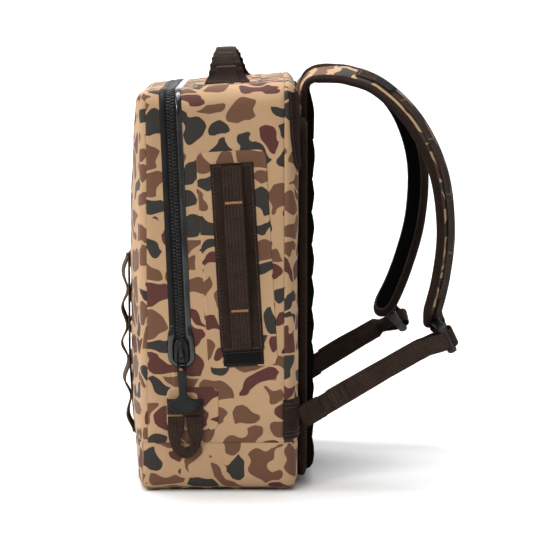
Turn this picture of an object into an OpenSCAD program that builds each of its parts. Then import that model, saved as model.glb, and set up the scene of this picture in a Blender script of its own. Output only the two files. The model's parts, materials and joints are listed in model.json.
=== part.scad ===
// Waterproof tackle backpack, about 28 litres, with a zipped clamshell front.
// Millimetres. +X is the wearer's right, +Y points at the wearer's back, +Z is up.
// The origin is the centre of the base, on the surface that the pack stands on.

/* [Body] */
// Width across the two side panels
body_w = 350; // [340:1:360]
// Height of the top edge at the front
top_front_z = 495; // [485:1:500]
// Slope of the top, rising towards the back, in degrees
top_slope = 4.4; // [3:0.1:5]
// Distance from the origin to the crown of the front face
front_y = 112; // [108:1:114]
// Distance from the origin to the back face
back_y = 102; // [100:1:104]
// Thickness of the laminated wall
wall = 3; // [2.5:0.1:3.5]
// Height of the seam round the base
base_seam_z = 62; // [55:1:68]

/* [Zipper] */
// Height of the line that the front folds open about
hinge_z = 150; // [148:1:152]
// Lean of the zipper towards the front, in degrees
zip_tilt = 2.3; // [1.5:0.1:3]
// Zipper centre line at the height of its lower end
zip_y0 = -41; // [-44:1:-38]
// Half of the width of the whole zipper
zip_half = 13; // [12:0.5:14]
// Half of the width of the toothed chain
chain_half = 6; // [5:0.5:7]
// Half of the slot between the rows of teeth, where the slider's post runs
slot_half = 0.8; // [0.8:0.1:1]

/* [Handles] */
// Lean of the side handles towards the front, in degrees
handle_tilt = 3.2; // [2:0.1:4]
// How far the side handle's webbing bows off its backing
handle_bow = 13; // [11:0.5:15]
// Height of the top handle above the top
top_handle_rise = 42; // [36:1:44]
// Half of the distance between the top handle's feet
top_handle_half = 88; // [80:1:95]

/* [Straps] */
// Width of a shoulder pad
pad_w = 62; // [58:1:64]
// Thickness of a shoulder pad
pad_t = 11; // [10:0.5:12]
// Width of the adjusting webbing
web_w = 27; // [25:1:28]
// How far the left strap leans in towards the back, per millimetre of drop
left_lean = 0.15; // [0:0.01:0.18]
// How much of the right strap's outward cant the left strap has
left_cant = 0.45; // [0.4:0.05:1]
// Turn of the right adjusting webbing about its own length, at the foot and at the buckle
right_turn = [15, 25]; // [0:5:40]
// The same turns on the left
left_turn = [10, 65]; // [0:5:75]

/* [Front webbing] */
// Distance of each webbing ladder from the centre line
ladder_x = 75; // [60:1:80]
// Distance between two bar tacks on a webbing ladder
ladder_pitch = 45; // [44:0.5:46]
// Width of the ladder's webbing
ladder_w = 25; // [22:1:26]

/* [Hidden] */

hw = body_w / 2;
eps = 0.15;            // gap between two pieces that lie on each other
gap = 0.4;             // gap between two pieces that move apart
big = 700;
seam_y = -84;          // seam between the front and the sides
bevel_y = 85;          // where the sides turn to the back
corner_x = hw - 30;    // where the top turns to the sides
top_front_y = -82;     // start of the flat top, behind its front corner
zip_z0 = 160;          // height at which zip_y0 is given
garage_top_z = 206;    // upper end of the zipper garages
garage_base_z = 166;   // lower end of the teeth
hinge_y = -front_y - 1;
strap_top = [56, 132, 511.8];     // the two ends of a shoulder strap's swing axis
strap_foot = [158, 113, 94];

camo = "tan";
brown = [0.22, 0.17, 0.14];
black = [0.12, 0.12, 0.12];

// ---------- outlines of the body ----------

function arc(cx, cy, rx, ry, a0, a1, n) =
    [for (i = [0:n]) let (a = a0 + (a1 - a0) * i / n) [cx + rx * cos(a), cy + ry * sin(a)]];
function mirrored(points) =
    [for (i = [len(points) - 1:-1:0]) [-points[i][0], points[i][1]]];

// y of the front face across its width, and up its height, for a skin d inside the outer one
function crown_x(x, d) = -front_y + d + 19 * pow(abs(x) / (hw - 12), 2.4);
function crown_z(z, d) = -front_y + d + 13 * pow((z - 250) / 228, 2);
function front_surface(x, z) = max(crown_x(x, 0), crown_z(z, 0));
function top_z(y) = top_front_z + (y - top_front_y) * tan(top_slope);

// Outline seen from above
function plan_half(d) = concat(
    [for (x = [0:27:135]) [x, crown_x(x, d)]],
    arc(hw - 12, -80, 12 - d, 13 - d, -90, 0, 4),
    arc(hw - 25, bevel_y, 25 - d, back_y - bevel_y - d, 0, 90, 5));

// ---------- the body's solid and shell ----------

module plan_prism(d) {
    half = plan_half(d);
    translate([0, 0, -20])
        linear_extrude(big)
            polygon(concat(half, mirrored(half)));
}

module side_prism(d) {
    front_corner = arc(top_front_y, top_front_z - 17,
        top_front_y - crown_z(top_front_z - 17, d), 17 - d, 90, 180, 4);
    front_face = [for (z = [450:-48:66]) [crown_z(z, d), z]];
    foot_corner = arc(-84, 18, -84 - crown_z(18, d), 18 - d, 180, 270, 4);
    back_foot = arc(back_y - 16, 16, 16 - d, 16 - d, 270, 360, 4);
    back_top = arc(back_y - 14, top_z(back_y - 14) - 26, 14 - d, 26 - d, 0, 90, 4);
    rotate([90, 0, 90])
        linear_extrude(big, center = true)
            polygon(concat(front_corner, front_face, foot_corner, back_foot, back_top));
}

module top_prism(d) {
    half = concat([[0, 0.3 - d]], arc(hw - 30, -30, 30 - d, 30.3 - d, 90, 0, 6), [[hw - d, -big]]);
    translate([0, top_front_y, top_front_z])
        rotate([top_slope + 90, 0, 0])
            linear_extrude(big, center = true)
                polygon(concat(half, mirrored(half)));
}

module foot_prism(d) {
    half = concat([[0, big]], [[hw - d, big]], arc(hw - 22, 20, 22 - d, 20 - d, 0, -90, 4), [[0, d]]);
    rotate([90, 0, 0])
        linear_extrude(big, center = true)
            polygon(concat(half, mirrored(half)));
}

module body_solid(d) {
    intersection() {
        plan_prism(d);
        side_prism(d);
        top_prism(d);
        foot_prism(d);
    }
}

module body_shell(outer = 0, inner = wall) {
    difference() {
        body_solid(outer);
        body_solid(inner);
    }
}

// A box between two corners
module block(low, high) {
    translate(low)
        cube(high - low);
}

// The slab from a to b beside the zipper's centre plane, above the height z0
module zip_slab(a, b, z0) {
    intersection() {
        translate([0, zip_y0, zip_z0])
            rotate([zip_tilt, 0, 0])
                block([-hw - 20, a, -60], [hw + 20, b, 420]);
        block([-big, -big, z0], [big, big, big]);
    }
}

// ---------- main shell ----------

module base_tub() {
    color(camo)
        intersection() {
            body_shell();
            block([-big, -big, -1], [big, big, base_seam_z]);
        }
}

module side_panel() {
    color(camo)
        difference() {
            intersection() {
                body_shell();
                block([corner_x, seam_y, base_seam_z], [big, bevel_y, big]);
            }
            zip_slab(-160, -zip_half, hinge_z);
            zip_slab(-zip_half - 1, zip_half, garage_base_z);
        }
}

module back_panel() {
    color(camo)
        intersection() {
            body_shell();
            block([-big, bevel_y, base_seam_z], [big, big, big]);
        }
}

module top_panel() {
    color(camo)
        intersection() {
            body_shell();
            block([-corner_x, seam_y, 300], [corner_x, bevel_y, big]);
            zip_slab(zip_half, 200, 300);
        }
}

module lower_front_panel() {
    color(camo)
        intersection() {
            body_shell();
            block([-big, -big, base_seam_z], [big, seam_y, hinge_z]);
        }
}

module base_board() {
    color("dimgray")
        block([-hw + 38, -70, wall + eps], [hw - 38, 72, wall + 3]);
}

module frame_sheet() {
    color("dimgray")
        block([-hw + 42, back_y - wall - 2.2, 30], [hw - 42, back_y - wall - eps, 462]);
}

// ---------- back pad ----------

module pad_outline(grow) {
    half_w = 132 + grow;
    low = 10 - grow;
    high = 438 + grow;
    r = 34 + grow;
    right = concat(arc(half_w - r, low + r, r, r, -90, 0, 6), arc(half_w - 20, high - 20, 20, 20, 0, 90, 5));
    polygon(concat(right, mirrored(right)));
}

module back_pad() {
    back_t = 9;
    block_t = 22;
    color(black)
        difference() {
            translate([0, back_y + block_t + eps, 0])
                rotate([90, 0, 0])
                    linear_extrude(block_t)
                        pad_outline(0);
            for (z = [54:41:400])
                block([-big, back_y + block_t - back_t, z], [big, big, z + 5]);
            block([-14, back_y + block_t - back_t, 0], [14, big, big]);
        }
}

module back_pad_binding() {
    color(brown)
        translate([0, back_y + 9, 0])
            rotate([90, 0, 0])
                linear_extrude(9 - eps)
                    difference() {
                        pad_outline(5);
                        pad_outline(0.2);
                    }
}

module yoke_panel() {
    color(brown)
        block([-100, back_y + eps, 444], [100, back_y + 2.5, 472]);
}

// ---------- zipper ----------

module zipper_tape_rear() {
    color(black)
        intersection() {
            body_shell(-1, 2);
            zip_slab(chain_half, zip_half - 0.1, garage_base_z);
        }
}

module zipper_teeth_rear() {
    color(black)
        intersection() {
            body_shell(-1, 2.2);
            zip_slab(slot_half, chain_half, garage_base_z);
        }
}

module zipper_tape_front() {
    color(black)
        intersection() {
            body_shell(-1, 2);
            zip_slab(-zip_half + 0.1, -chain_half, garage_top_z + 1);
        }
}

module zipper_teeth_front() {
    color(black)
        intersection() {
            body_shell(-1, 2.2);
            zip_slab(-chain_half, -slot_half, garage_top_z + 1);
        }
}

// Places children at a height on the zipper's line on the right side, +X outwards, +Z along the zipper
module on_zipper(z) {
    translate([hw, zip_y0 - (z - zip_z0) * tan(zip_tilt), z])
        rotate([zip_tilt, 0, 0])
            children();
}

module garage() {
    outline = concat(arc(0, -12, 17, 13, 180, 360, 12), [[15, 14], [13, 30]], [[-13, 30], [-15, 14]]);
    slot = concat(arc(0, -8, 9.5, 7, 180, 360, 8), [[9.5, 60]], [[-9.5, 60]]);
    on_zipper(garage_base_z + 10)
        rotate([90, 0, 90])
            translate([0, 0, 1.1])
                linear_extrude(2.4)
                    difference() {
                        polygon(outline);
                        polygon(slot);
                    }
    intersection() {
        body_shell(0, wall);
        zip_slab(-zip_half + gap, -1, garage_base_z + eps);
        block([corner_x, -big, 0], [big, big, garage_top_z]);
    }
}

module zipper_garages() {
    color(black) {
        garage();
        mirror([1, 0, 0])
            garage();
    }
}

slider_z = 177;        // height of the slider's middle when the zipper is shut
pull_x = 8.9;          // the pull's pivot, out from the side panel
pull_up = 4;           // and above the slider's middle

module zipper_slider() {
    plate = [[-8.5, -9], [-6, -14], [6, -14], [8.5, -9], [8.5, 7], [5, 15], [-5, 15], [-8.5, 7]];
    lug = [[3.7, -9], [3.7, 13], [6.4, 13], [11.5, 9], [11.5, -4], [6.4, -9]];
    hole = [[7, 0.8], [7, 7.2], [10.6, 7.2], [10.6, 0.8]];
    color([0.08, 0.08, 0.08])
        on_zipper(slider_z) {
            rotate([90, 0, 90])
                translate([0, 0, 3.7])
                    linear_extrude(2.5)
                        polygon(plate);
            rotate([90, 0, 90])
                translate([0, 0, -6])
                    linear_extrude(2.2)
                        polygon(plate * 0.92);
            block([-4, -0.5, -2], [4, 0.5, 12]);
            for (side = [-1, 1])
                translate([1.3, side * 7.6 - 0.65, -9])
                    cube([2.6, 1.3, 16]);
            rotate([90, 0, 0])
                linear_extrude(4, center = true)
                    difference() {
                        polygon(lug);
                        polygon(hole);
                    }
        }
}

// ---------- zip pull ----------

module pull_cord() {
    r = 1.2;
    leg = 34;
    color([0.1, 0.1, 0.1])
        on_zipper(slider_z + pull_up)
            translate([pull_x, 0, 0]) {
                rotate([90, 0, 0])
                    cylinder(h = 9, r = r, center = true, $fn = 24);
                for (side = [-1, 1]) {
                    translate([0, side * 4.5, 0])
                        sphere(r = r, $fn = 24);
                    translate([0, side * 4.5, -leg])
                        cylinder(h = leg, r = r, $fn = 24);
                }
            }
}

module pull_handle() {
    stem = [[-6, -28], [-5, -57], [-9, -62], [-19, -65], [-15, -79], [15, -79],
        [19, -65], [9, -62], [5, -57], [6, -28]];
    color([0.14, 0.14, 0.14])
        on_zipper(slider_z + pull_up)
            translate([pull_x, 0, 0])
                difference() {
                    rotate([90, 0, 90])
                        linear_extrude(6, center = true)
                            polygon(stem);
                    for (side = [-1, 1])
                        translate([0, side * 4.5, -34.1])
                            cylinder(h = 7, r = 1.25, $fn = 24);
                }
}

// ---------- dock loop ----------

dock = [37, 96];       // [distance ahead of the origin, height] of the loop's fold

module on_dock() {
    translate([hw, -dock[0], dock[1]])
        children();
}

module dock_patch() {
    color(camo)
        translate([hw + eps, -28, 104])
            rotate([90, 0, 90])
                linear_extrude(0.8)
                    polygon(concat(arc(22, 18, 10, 10, 0, 90, 4), arc(-22, 18, 10, 10, 90, 180, 4),
                        arc(-22, -16, 10, 10, 180, 270, 4), arc(22, -16, 10, 10, 270, 360, 4)));
}

module dock_loop_foot() {
    color(brown)
        on_dock()
            block([1.2, -22, 1.5], [3.6, 22, 21]);
}

module dock_loop() {
    outline = concat([[-22, -2]], arc(-8, -30, 14, 10, 180, 225, 4), arc(0, -50, 6, 6, 225, 315, 4),
        arc(8, -30, 14, 10, 315, 360, 4), [[22, -2]]);
    window = [[-5, -46], [-3, -22], [3, -22], [5, -46]];
    color(brown)
        on_dock()
            rotate([0, -5, 0])
                rotate([90, 0, 90])
                    translate([0, 0, 1.8])
                        linear_extrude(2.6)
                            difference() {
                                polygon(outline);
                                polygon(window);
                            }
}

// ---------- side handles ----------

// Places children at the middle of the right side handle, +X outwards, +Z along the handle
module on_handle() {
    translate([hw, 27, 293])
        rotate([handle_tilt, 0, 0])
            children();
}

module handle_patch() {
    color(camo)
        on_handle()
            rotate([90, 0, 90])
                translate([0, 0, eps])
                    linear_extrude(0.8)
                        polygon(concat(arc(33, 121, 10, 10, 0, 90, 4), arc(-33, 121, 10, 10, 90, 180, 4),
                            arc(-33, -126, 10, 10, 180, 270, 4), arc(33, -126, 10, 10, 270, 360, 4)));
}

module handle_backing() {
    color(brown)
        on_handle()
            block([1, -26.5, -116], [3, 26.5, 116]);
}

function bow(z) = 3.2 + handle_bow * pow(cos(min(90, abs(z) * 90 / 96)), 2);

module handle_strap() {
    inner = [for (z = [-110:10:110]) [bow(z), z]];
    outer = [for (z = [110:-10:-110]) [bow(z) + 3, z]];
    color(brown)
        on_handle()
            rotate([90, 0, 0])
                linear_extrude(24, center = true)
                    polygon(concat(inner, outer));
}

module handle_tacks() {
    for (z = [-65, 68])
        on_handle()
            block([bow(abs(z) - 2) + 3.1, -12, z - 1.6], [bow(z) + 4.3, 12, z + 1.6]);
}

module side_handle_tacks() {
    color("burlywood") {
        handle_tacks();
        mirror([1, 0, 0])
            handle_tacks();
    }
}

module size_label() {
    color(black)
        on_handle()
            block([1, -24, -134], [2.6, 26, -116.5]);
}

// ---------- top handle ----------

handle_y = 14;         // the top handle's line, back from the origin
handle_axis_z = top_z(handle_y) + 12;

module on_top() {
    translate([0, handle_y, top_z(handle_y)])
        rotate([top_slope, 0, 0])
            children();
}

module top_handle_patch() {
    color(camo)
        on_top()
            translate([0, 0, eps])
                linear_extrude(0.8)
                    polygon(concat(arc(118, 30, 12, 12, 0, 90, 4), arc(-118, 30, 12, 12, 90, 180, 4),
                        arc(-118, -30, 12, 12, 180, 270, 4), arc(118, -30, 12, 12, 270, 360, 4)));
}

module top_handle_feet() {
    color(brown)
        on_top()
            for (side = [-1, 1])
                translate([side * (top_handle_half + 10), 0, 0])
                    block([-24, -27, 1], [20, 27, 3]);
}

// [x, z] of the top handle's middle line above its axis, from foot to foot
function handle_line() = [for (a = [180:-12:0])
    [top_handle_half * cos(a) * (0.72 + 0.28 * abs(cos(a))), (top_handle_rise - 13) * pow(sin(a), 0.7)]];

module top_handle_web() {
    line = handle_line();
    inner = [for (p = line) [p[0], p[1] - 1.2]];
    outer = [for (i = [len(line) - 1:-1:0]) [line[i][0], line[i][1] + 1.2]];
    color(brown)
        translate([0, handle_y, handle_axis_z])
            intersection() {
                rotate([90, 0, 0])
                    linear_extrude(28, center = true)
                        polygon(concat([[line[0][0] - 1.5, 0]], inner, [[line[15][0] + 1.5, 0]], outer));
                rotate([90, 0, 90])
                    linear_extrude(big, center = true)
                        polygon([[-5, -2], [5, -2], [14, 12], [14, 60], [-14, 60], [-14, 12]]);
            }
}

// The top handle's middle line as far as reach on each side, t thick and w wide
module grip_layer(reach, t, w) {
    line = [for (p = handle_line()) if (abs(p[0]) < reach) p];
    rotate([90, 0, 0])
        linear_extrude(w, center = true)
            polygon(concat([for (p = line) [p[0], p[1] - t / 2]],
                [for (i = [len(line) - 1:-1:0]) [line[i][0], line[i][1] + t / 2]]));
}

module top_handle_grip() {
    color(black)
        translate([0, handle_y, handle_axis_z])
            difference() {
                grip_layer(40, 6, 31);
                grip_layer(56, 3.2, 28.4);
            }
}

// ---------- front webbing ladders ----------

ladder_low = hinge_z - 2 * ladder_pitch;  // height of a ladder's lowest bar tack
ladder_high = ladder_low + 5 * ladder_pitch;

// A ribbon on the front face from z0 to z1, flat on it or standing off it in loops
module front_ribbon(x, z0, z1, loops) {
    steps = round((z1 - z0) / 4.5);
    heights = [for (i = [0:steps]) z0 + (z1 - z0) * i / steps];
    function lift(z) = loops ? 2.4 + 10.5 * pow(sin(180 * (z - ladder_low) / ladder_pitch), 2) : 3 * eps;
    inner = abs(x) - ladder_w / 2;
    near = [for (z = heights) [front_surface(inner, z) - lift(z), z]];
    far = [for (i = [steps:-1:0]) [near[i][0] - 1.8, near[i][1]]];
    rotate([90, 0, 90])
        translate([0, 0, x])
            linear_extrude(ladder_w, center = true)
                polygon(concat(near, far));
}

module ladder(x, z0, z1) {
    front_ribbon(x, z0, z1, false);
    front_ribbon(x, z0, z1, true);
}

module front_ladders_lower() {
    color(brown)
        for (side = [-1, 1])
            ladder(side * ladder_x, ladder_low, hinge_z - 2);
}

module front_ladder(side) {
    color(brown)
        ladder(side * ladder_x, hinge_z + 2, ladder_high);
}

// ---------- clamshell front ----------

module lid_region() {
    difference() {
        block([-big, -big, hinge_z + gap], [big, big, big]);
        zip_slab(-zip_half - gap, 300, 0);
    }
}

module front_panel() {
    color(camo)
        intersection() {
            body_shell();
            lid_region();
            block([-big, -big, 0], [big, seam_y, big]);
        }
}

module front_gusset() {
    color(camo)
        intersection() {
            body_shell();
            lid_region();
            block([-big, seam_y, 0], [big, 0, big]);
        }
}

module mesh_pocket() {
    color("dimgray")
        intersection() {
            body_solid(wall + eps);
            difference() {
                block([-118, -big, 210], [118, -97, 440]);
                block([-116.5, -big, 211.5], [116.5, -98.5, 438.5]);
            }
        }
}

module mesh_pocket_zip() {
    color(black)
        block([-104, -97 + eps, 420], [104, -94.5, 427]);
}

// ---------- shoulder straps ----------

function unit(v) = v / norm(v);
function blend4(s, i, t) = let (a = s[max(i - 1, 0)], b = s[i], c = s[i + 1], d = s[min(i + 2, len(s) - 1)])
    0.5 * (2 * b + (c - a) * t + (2 * a - 5 * b + 4 * c - d) * t * t + (3 * b - 3 * c + d - a) * t * t * t);
function smooth(s, n) =
    [for (i = [0:len(s) - 2]) for (k = [0:n - 1]) blend4(s, i, k / n), s[len(s) - 1]];
function spot(q) = [q[0], q[1], q[2]];
function tangent(s, i) = unit(spot(s[min(i + 1, len(s) - 1)]) - spot(s[max(i - 1, 0)]));
// Width direction of a ribbon at station i, across its tangent and its face normal
function across(s, i) = unit(cross(tangent(s, i), [s[i][3], s[i][4], s[i][5]]));
function facing(s, i) = unit(cross(across(s, i), tangent(s, i)));

// A flat band along stations [x, y, z, normal x, y, z, width], lifted along its face and shifted across it
module band(s, thick, lift = 0, shift = 0, width = 0, round_edge = 0) {
    count = len(s);
    rings = [for (i = [0:count - 1])
        let (c = spot(s[i]), w = across(s, i), n = facing(s, i),
            edge = s[i][6] / 2, half = (width > 0 ? width : s[i][6]) / 2, t = thick / 2,
            mid = c + n * lift + w * (shift == 0 ? 0 : shift * (edge + half + 0.1)),
            outline = round_edge == 0 ? [[half, t], [-half, t], [-half, -t], [half, -t]]
                : [[half - round_edge, t], [round_edge - half, t], [-half, t * 0.4], [-half, -t * 0.4],
                    [round_edge - half, -t], [half - round_edge, -t], [half, -t * 0.4], [half, t * 0.4]])
        for (p = outline) mid + w * p[0] + n * p[1]];
    k = len(rings) / count;
    sides = [for (i = [0:count - 2]) for (j = [0:k - 1])
        let (a = i * k + j, b = i * k + (j + 1) % k)
        for (face = [[a, b, b + k], [a, b + k, a + k]]) face];
    ends = [[for (j = [k - 1:-1:0]) j], [for (j = [0:k - 1]) (count - 1) * k + j]];
    polyhedron(points = rings, faces = concat(sides, ends), convexity = 6);
}

// Centre line of the right shoulder pad, from above the shoulder to its lower end
pad_line = [
    [56, 137, 512.4, 0.22, -0.15, 0.96, 30], [57, 151, 512.6, 0.25, 0.05, 0.96, 54],
    [59, 168, 510.5, 0.27, 0.22, 0.94, pad_w], [66, 206, 496, 0.3, 0.5, 0.81, pad_w],
    [79, 249, 454, 0.34, 0.76, 0.54, pad_w], [93, 279, 392, 0.36, 0.9, 0.22, pad_w],
    [105, 288, 322, 0.37, 0.93, -0.04, pad_w - 2], [114, 282, 262, 0.39, 0.9, -0.2, pad_w - 6],
    [119, 270, 215, 0.41, 0.87, -0.28, pad_w - 14]
];
// The part of the pad that is sewn to the back and rises over its top edge
root_line = [
    [69, 111, 454, 0, -1, 0, pad_w], [64, 111, 475, 0, -1, 0, pad_w],
    [59, 111.5, 494, 0, -1, 0.1, pad_w], [57, 117, 506, 0.1, -0.65, 0.7, 54], [56, 127, 511, 0.2, -0.2, 0.96, 30]
];
// A strap leans in towards the back and hangs lower by lean, and is canted by a part of the right one's cant
function leaned_point(p, lean) = let (drop = max(0, 490 - p[2])) p - [0, lean * drop, lean * drop / 4];
function leaned(s, lean, cant) = [for (q = s) let (p = leaned_point(spot(q), lean))
    [p[0], p[1], p[2], q[3] * cant, q[4], q[5], q[6]]];

module strap_root() {
    color(brown)
        band(smooth(root_line, 2), pad_t - 1, round_edge = 4);
}

function pad_path(lean, cant) = smooth(leaned(pad_line, lean, cant), 3);

module strap_pad(lean, cant) {
    color(camo)
        band(pad_path(lean, cant), pad_t, round_edge = 4);
}

module strap_binding(lean, cant) {
    line = [for (i = [5:24]) pad_path(lean, cant)[i]];
    color(brown) {
        band(line, 5, shift = 1, width = 2);
        band(line, 5, shift = -1, width = 2);
    }
}

module strap_rail(lean, cant) {
    color(brown)
        band([for (i = [7:23]) pad_path(lean, cant)[i]], 1.8, lift = pad_t / 2 + 1.4, width = 25);
}

module strap_tag(lean, cant) {
    color(black)
        band([for (i = [10:12]) pad_path(lean, cant)[i]], 1.4, lift = pad_t / 2 + 3.4, width = 27);
}

// The buckle's place, and its own axes: out of the webbing's face, along the webbing, and across it
function lock_at(lean) = leaned_point([128, 284, 190], lean);
function web_dir(lean) = unit(lock_at(lean) - strap_foot);
function flat_out(lean) = unit([1, 0, 0] - web_dir(lean) * web_dir(lean)[0]);
function web_out(lean, turn) =
    flat_out(lean) * cos(turn) - cross(flat_out(lean), web_dir(lean)) * sin(turn);
function lock_point(lean, turn, x, y) = lock_at(lean) + web_out(lean, turn) * x + web_dir(lean) * y;

lock_w = web_w + 10;         // width of the buckle's frame
bar_r = 1.9;                 // radius of its bars
lock_bars = [-13, 0, 10.5];  // places of its bars, out from the middle one
web_t = 1.8;                 // thickness of the webbing
lock_hold = 20;              // stretch of webbing that lies square to the buckle before it

module ladderlock(lean, turn) {
    o = lock_at(lean);
    a = web_out(lean, turn);
    b = web_dir(lean);
    c = cross(a, b);
    color([0.08, 0.08, 0.08])
        multmatrix([[a[0], b[0], c[0], o[0]], [a[1], b[1], c[1], o[1]], [a[2], b[2], c[2], o[2]], [0, 0, 0, 1]]) {
            for (x = lock_bars)
                translate([x, 0, 0])
                    cylinder(h = lock_w - 4, r = bar_r, center = true, $fn = 24);
            for (side = [-1, 1])
                translate([0, 0, side * (lock_w / 2 - 2)])
                    linear_extrude(5, center = true)
                        polygon([[-16, -2.5], [13, -2.5], [15.5, 0], [13, 2.5], [-16, 2.5]]);
        }
}

// A station of the webbing at a distance along its length, standing off its line
function web_station(lean, turns, along, off, face) =
    let (length = norm(lock_at(lean) - strap_foot),
        turn = turns[0] + (turns[1] - turns[0]) * pow(min(1, along / (length - lock_hold)), 2),
        out = web_out(lean, turn), p = strap_foot + web_dir(lean) * along + out * off, n = out * face)
    [p[0], p[1], p[2], n[0], n[1], n[2], web_w];
function web_turn(lean, turn, t) =
    let (r = 5.3, p = lock_point(lean, turn, lock_bars[2] + r * cos(t), 6 + r * sin(t)),
        n = -web_out(lean, turn) * cos(t) - web_dir(lean) * sin(t))
    [p[0], p[1], p[2], n[0], n[1], n[2], web_w];

// Webbing from the foot of the pack through the buckle, round its outer bar and back on itself
module lower_webbing(lean, turns) {
    length = norm(lock_at(lean) - strap_foot);
    near_lock = length - 34;
    main = [for (i = [0:5]) web_station(lean, turns, 2 + (near_lock - 2) * i / 5, 0.9, 1)];
    rise = [for (y = [-14, 0]) web_station(lean, turns, length + y, 5.2, 1)];
    turn = [for (t = [180:-30:0]) web_turn(lean, turns[1], t)];
    fall = [for (y = [-2, -10]) web_station(lean, turns, length + y, 15.8, -1)];
    tail = [for (i = [5:-1:0]) web_station(lean, turns, 30 + (near_lock - 34) * i / 5, web_t + 1.4, -1)];
    color(brown)
        band(concat(main, rise, turn, fall, tail), web_t);
}

// Webbing that holds the buckle's inner bar
module end_loop(lean, turn) {
    out = web_out(lean, turn);
    along = web_dir(lean);
    wrap = [for (t = [0:45:225]) let (n = out * cos(t) + along * sin(t), p = lock_point(lean, turn, lock_bars[0], 0) + n * 3.6)
        [p[0], p[1], p[2], n[0], n[1], n[2], web_w - 3]];
    color(brown)
        band(wrap, web_t);
}

module anchor_tab() {
    color(brown)
        translate([0, 0, 66])
            linear_extrude(50)
                polygon(concat(arc(hw - 25, bevel_y, 25.15, 17.15, 18, 72, 3), arc(hw - 25, bevel_y, 27.3, 19.3, 72, 18, 3)));
}

// ---------- which pieces to draw ----------

base_tub();
side_panel();  // right_side_panel
mirror([1, 0, 0]) side_panel();  // left_side_panel
back_panel();
top_panel();
lower_front_panel();
base_board();
frame_sheet();
back_pad();
back_pad_binding();
yoke_panel();
strap_root();  // right_strap_root
mirror([1, 0, 0]) strap_root();  // left_strap_root
zipper_tape_rear();
zipper_teeth_rear();
zipper_garages();
handle_patch();  // right_handle_patch
handle_backing();  // right_handle_backing
handle_strap();  // right_handle_strap
mirror([1, 0, 0]) handle_patch();  // left_handle_patch
mirror([1, 0, 0]) handle_backing();  // left_handle_backing
mirror([1, 0, 0]) handle_strap();  // left_handle_strap
side_handle_tacks();
size_label();
dock_patch();
dock_loop_foot();
top_handle_patch();
top_handle_feet();
anchor_tab();  // right_anchor_tab
mirror([1, 0, 0]) anchor_tab();  // left_anchor_tab
front_ladders_lower();
front_panel();
front_gusset();
zipper_tape_front();
zipper_teeth_front();
front_ladder(1);  // right_front_ladder
front_ladder(-1);  // left_front_ladder
mesh_pocket();
mesh_pocket_zip();
zipper_slider();
pull_cord();
pull_handle();
dock_loop();
top_handle_web();
top_handle_grip();
strap_pad(0, 1);  // right_strap_pad
strap_binding(0, 1);  // right_strap_binding
strap_rail(0, 1);  // right_strap_rail
strap_tag(0, 1);  // right_strap_tag
end_loop(0, right_turn[1]);  // right_end_loop
lower_webbing(0, right_turn);  // right_lower_webbing
ladderlock(0, right_turn[1]);  // right_ladderlock
mirror([1, 0, 0]) strap_pad(left_lean, left_cant);  // left_strap_pad
mirror([1, 0, 0]) strap_binding(left_lean, left_cant);  // left_strap_binding
mirror([1, 0, 0]) strap_rail(left_lean, left_cant);  // left_strap_rail
mirror([1, 0, 0]) end_loop(left_lean, left_turn[1]);  // left_end_loop
mirror([1, 0, 0]) lower_webbing(left_lean, left_turn);  // left_lower_webbing
mirror([1, 0, 0]) ladderlock(left_lean, left_turn[1]);  // left_ladderlock
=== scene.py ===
# Waterproof tackle backpack, seen from its right side. Metres in Blender; the helpers below work in millimetres.
import json
import math

import bmesh
import bpy
import numpy as np
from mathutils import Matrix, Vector

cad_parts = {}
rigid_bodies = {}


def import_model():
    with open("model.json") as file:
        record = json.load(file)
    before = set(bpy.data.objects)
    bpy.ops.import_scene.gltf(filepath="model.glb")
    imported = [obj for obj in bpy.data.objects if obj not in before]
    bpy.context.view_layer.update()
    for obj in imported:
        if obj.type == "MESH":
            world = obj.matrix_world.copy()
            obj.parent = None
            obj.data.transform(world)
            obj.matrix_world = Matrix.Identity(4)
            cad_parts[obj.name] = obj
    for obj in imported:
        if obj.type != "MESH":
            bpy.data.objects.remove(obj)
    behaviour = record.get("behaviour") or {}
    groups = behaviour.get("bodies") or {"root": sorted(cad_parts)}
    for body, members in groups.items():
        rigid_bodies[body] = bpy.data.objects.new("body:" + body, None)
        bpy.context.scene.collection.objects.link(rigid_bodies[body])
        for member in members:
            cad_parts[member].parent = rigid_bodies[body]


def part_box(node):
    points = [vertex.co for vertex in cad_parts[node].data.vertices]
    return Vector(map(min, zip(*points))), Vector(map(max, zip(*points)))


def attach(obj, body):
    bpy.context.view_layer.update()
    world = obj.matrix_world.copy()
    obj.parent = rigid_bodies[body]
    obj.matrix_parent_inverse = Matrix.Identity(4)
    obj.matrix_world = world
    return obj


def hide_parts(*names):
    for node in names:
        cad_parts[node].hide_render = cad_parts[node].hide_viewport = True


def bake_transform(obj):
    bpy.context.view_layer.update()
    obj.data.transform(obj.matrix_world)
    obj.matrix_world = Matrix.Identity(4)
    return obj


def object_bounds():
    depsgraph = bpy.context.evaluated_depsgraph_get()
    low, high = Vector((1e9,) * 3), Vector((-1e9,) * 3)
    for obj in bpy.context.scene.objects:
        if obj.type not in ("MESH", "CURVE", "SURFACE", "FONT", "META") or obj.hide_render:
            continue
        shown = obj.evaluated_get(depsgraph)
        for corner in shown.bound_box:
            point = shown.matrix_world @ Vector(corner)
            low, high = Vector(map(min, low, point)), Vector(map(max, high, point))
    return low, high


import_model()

CAD_BOX = [list(corner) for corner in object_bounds()]
MM = 0.001
FLOOR_Z = CAD_BOX[0][2] / MM - 0.1


def low(node):
    return np.array(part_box(node)[0]) / MM


def high(node):
    return np.array(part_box(node)[1]) / MM


# ---------------------------------------------------------------- camera, light, floor

def look(obj, place, target):
    obj.location = place
    obj.rotation_euler = (Vector(target) - Vector(place)).to_track_quat("-Z", "Y").to_euler()


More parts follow.
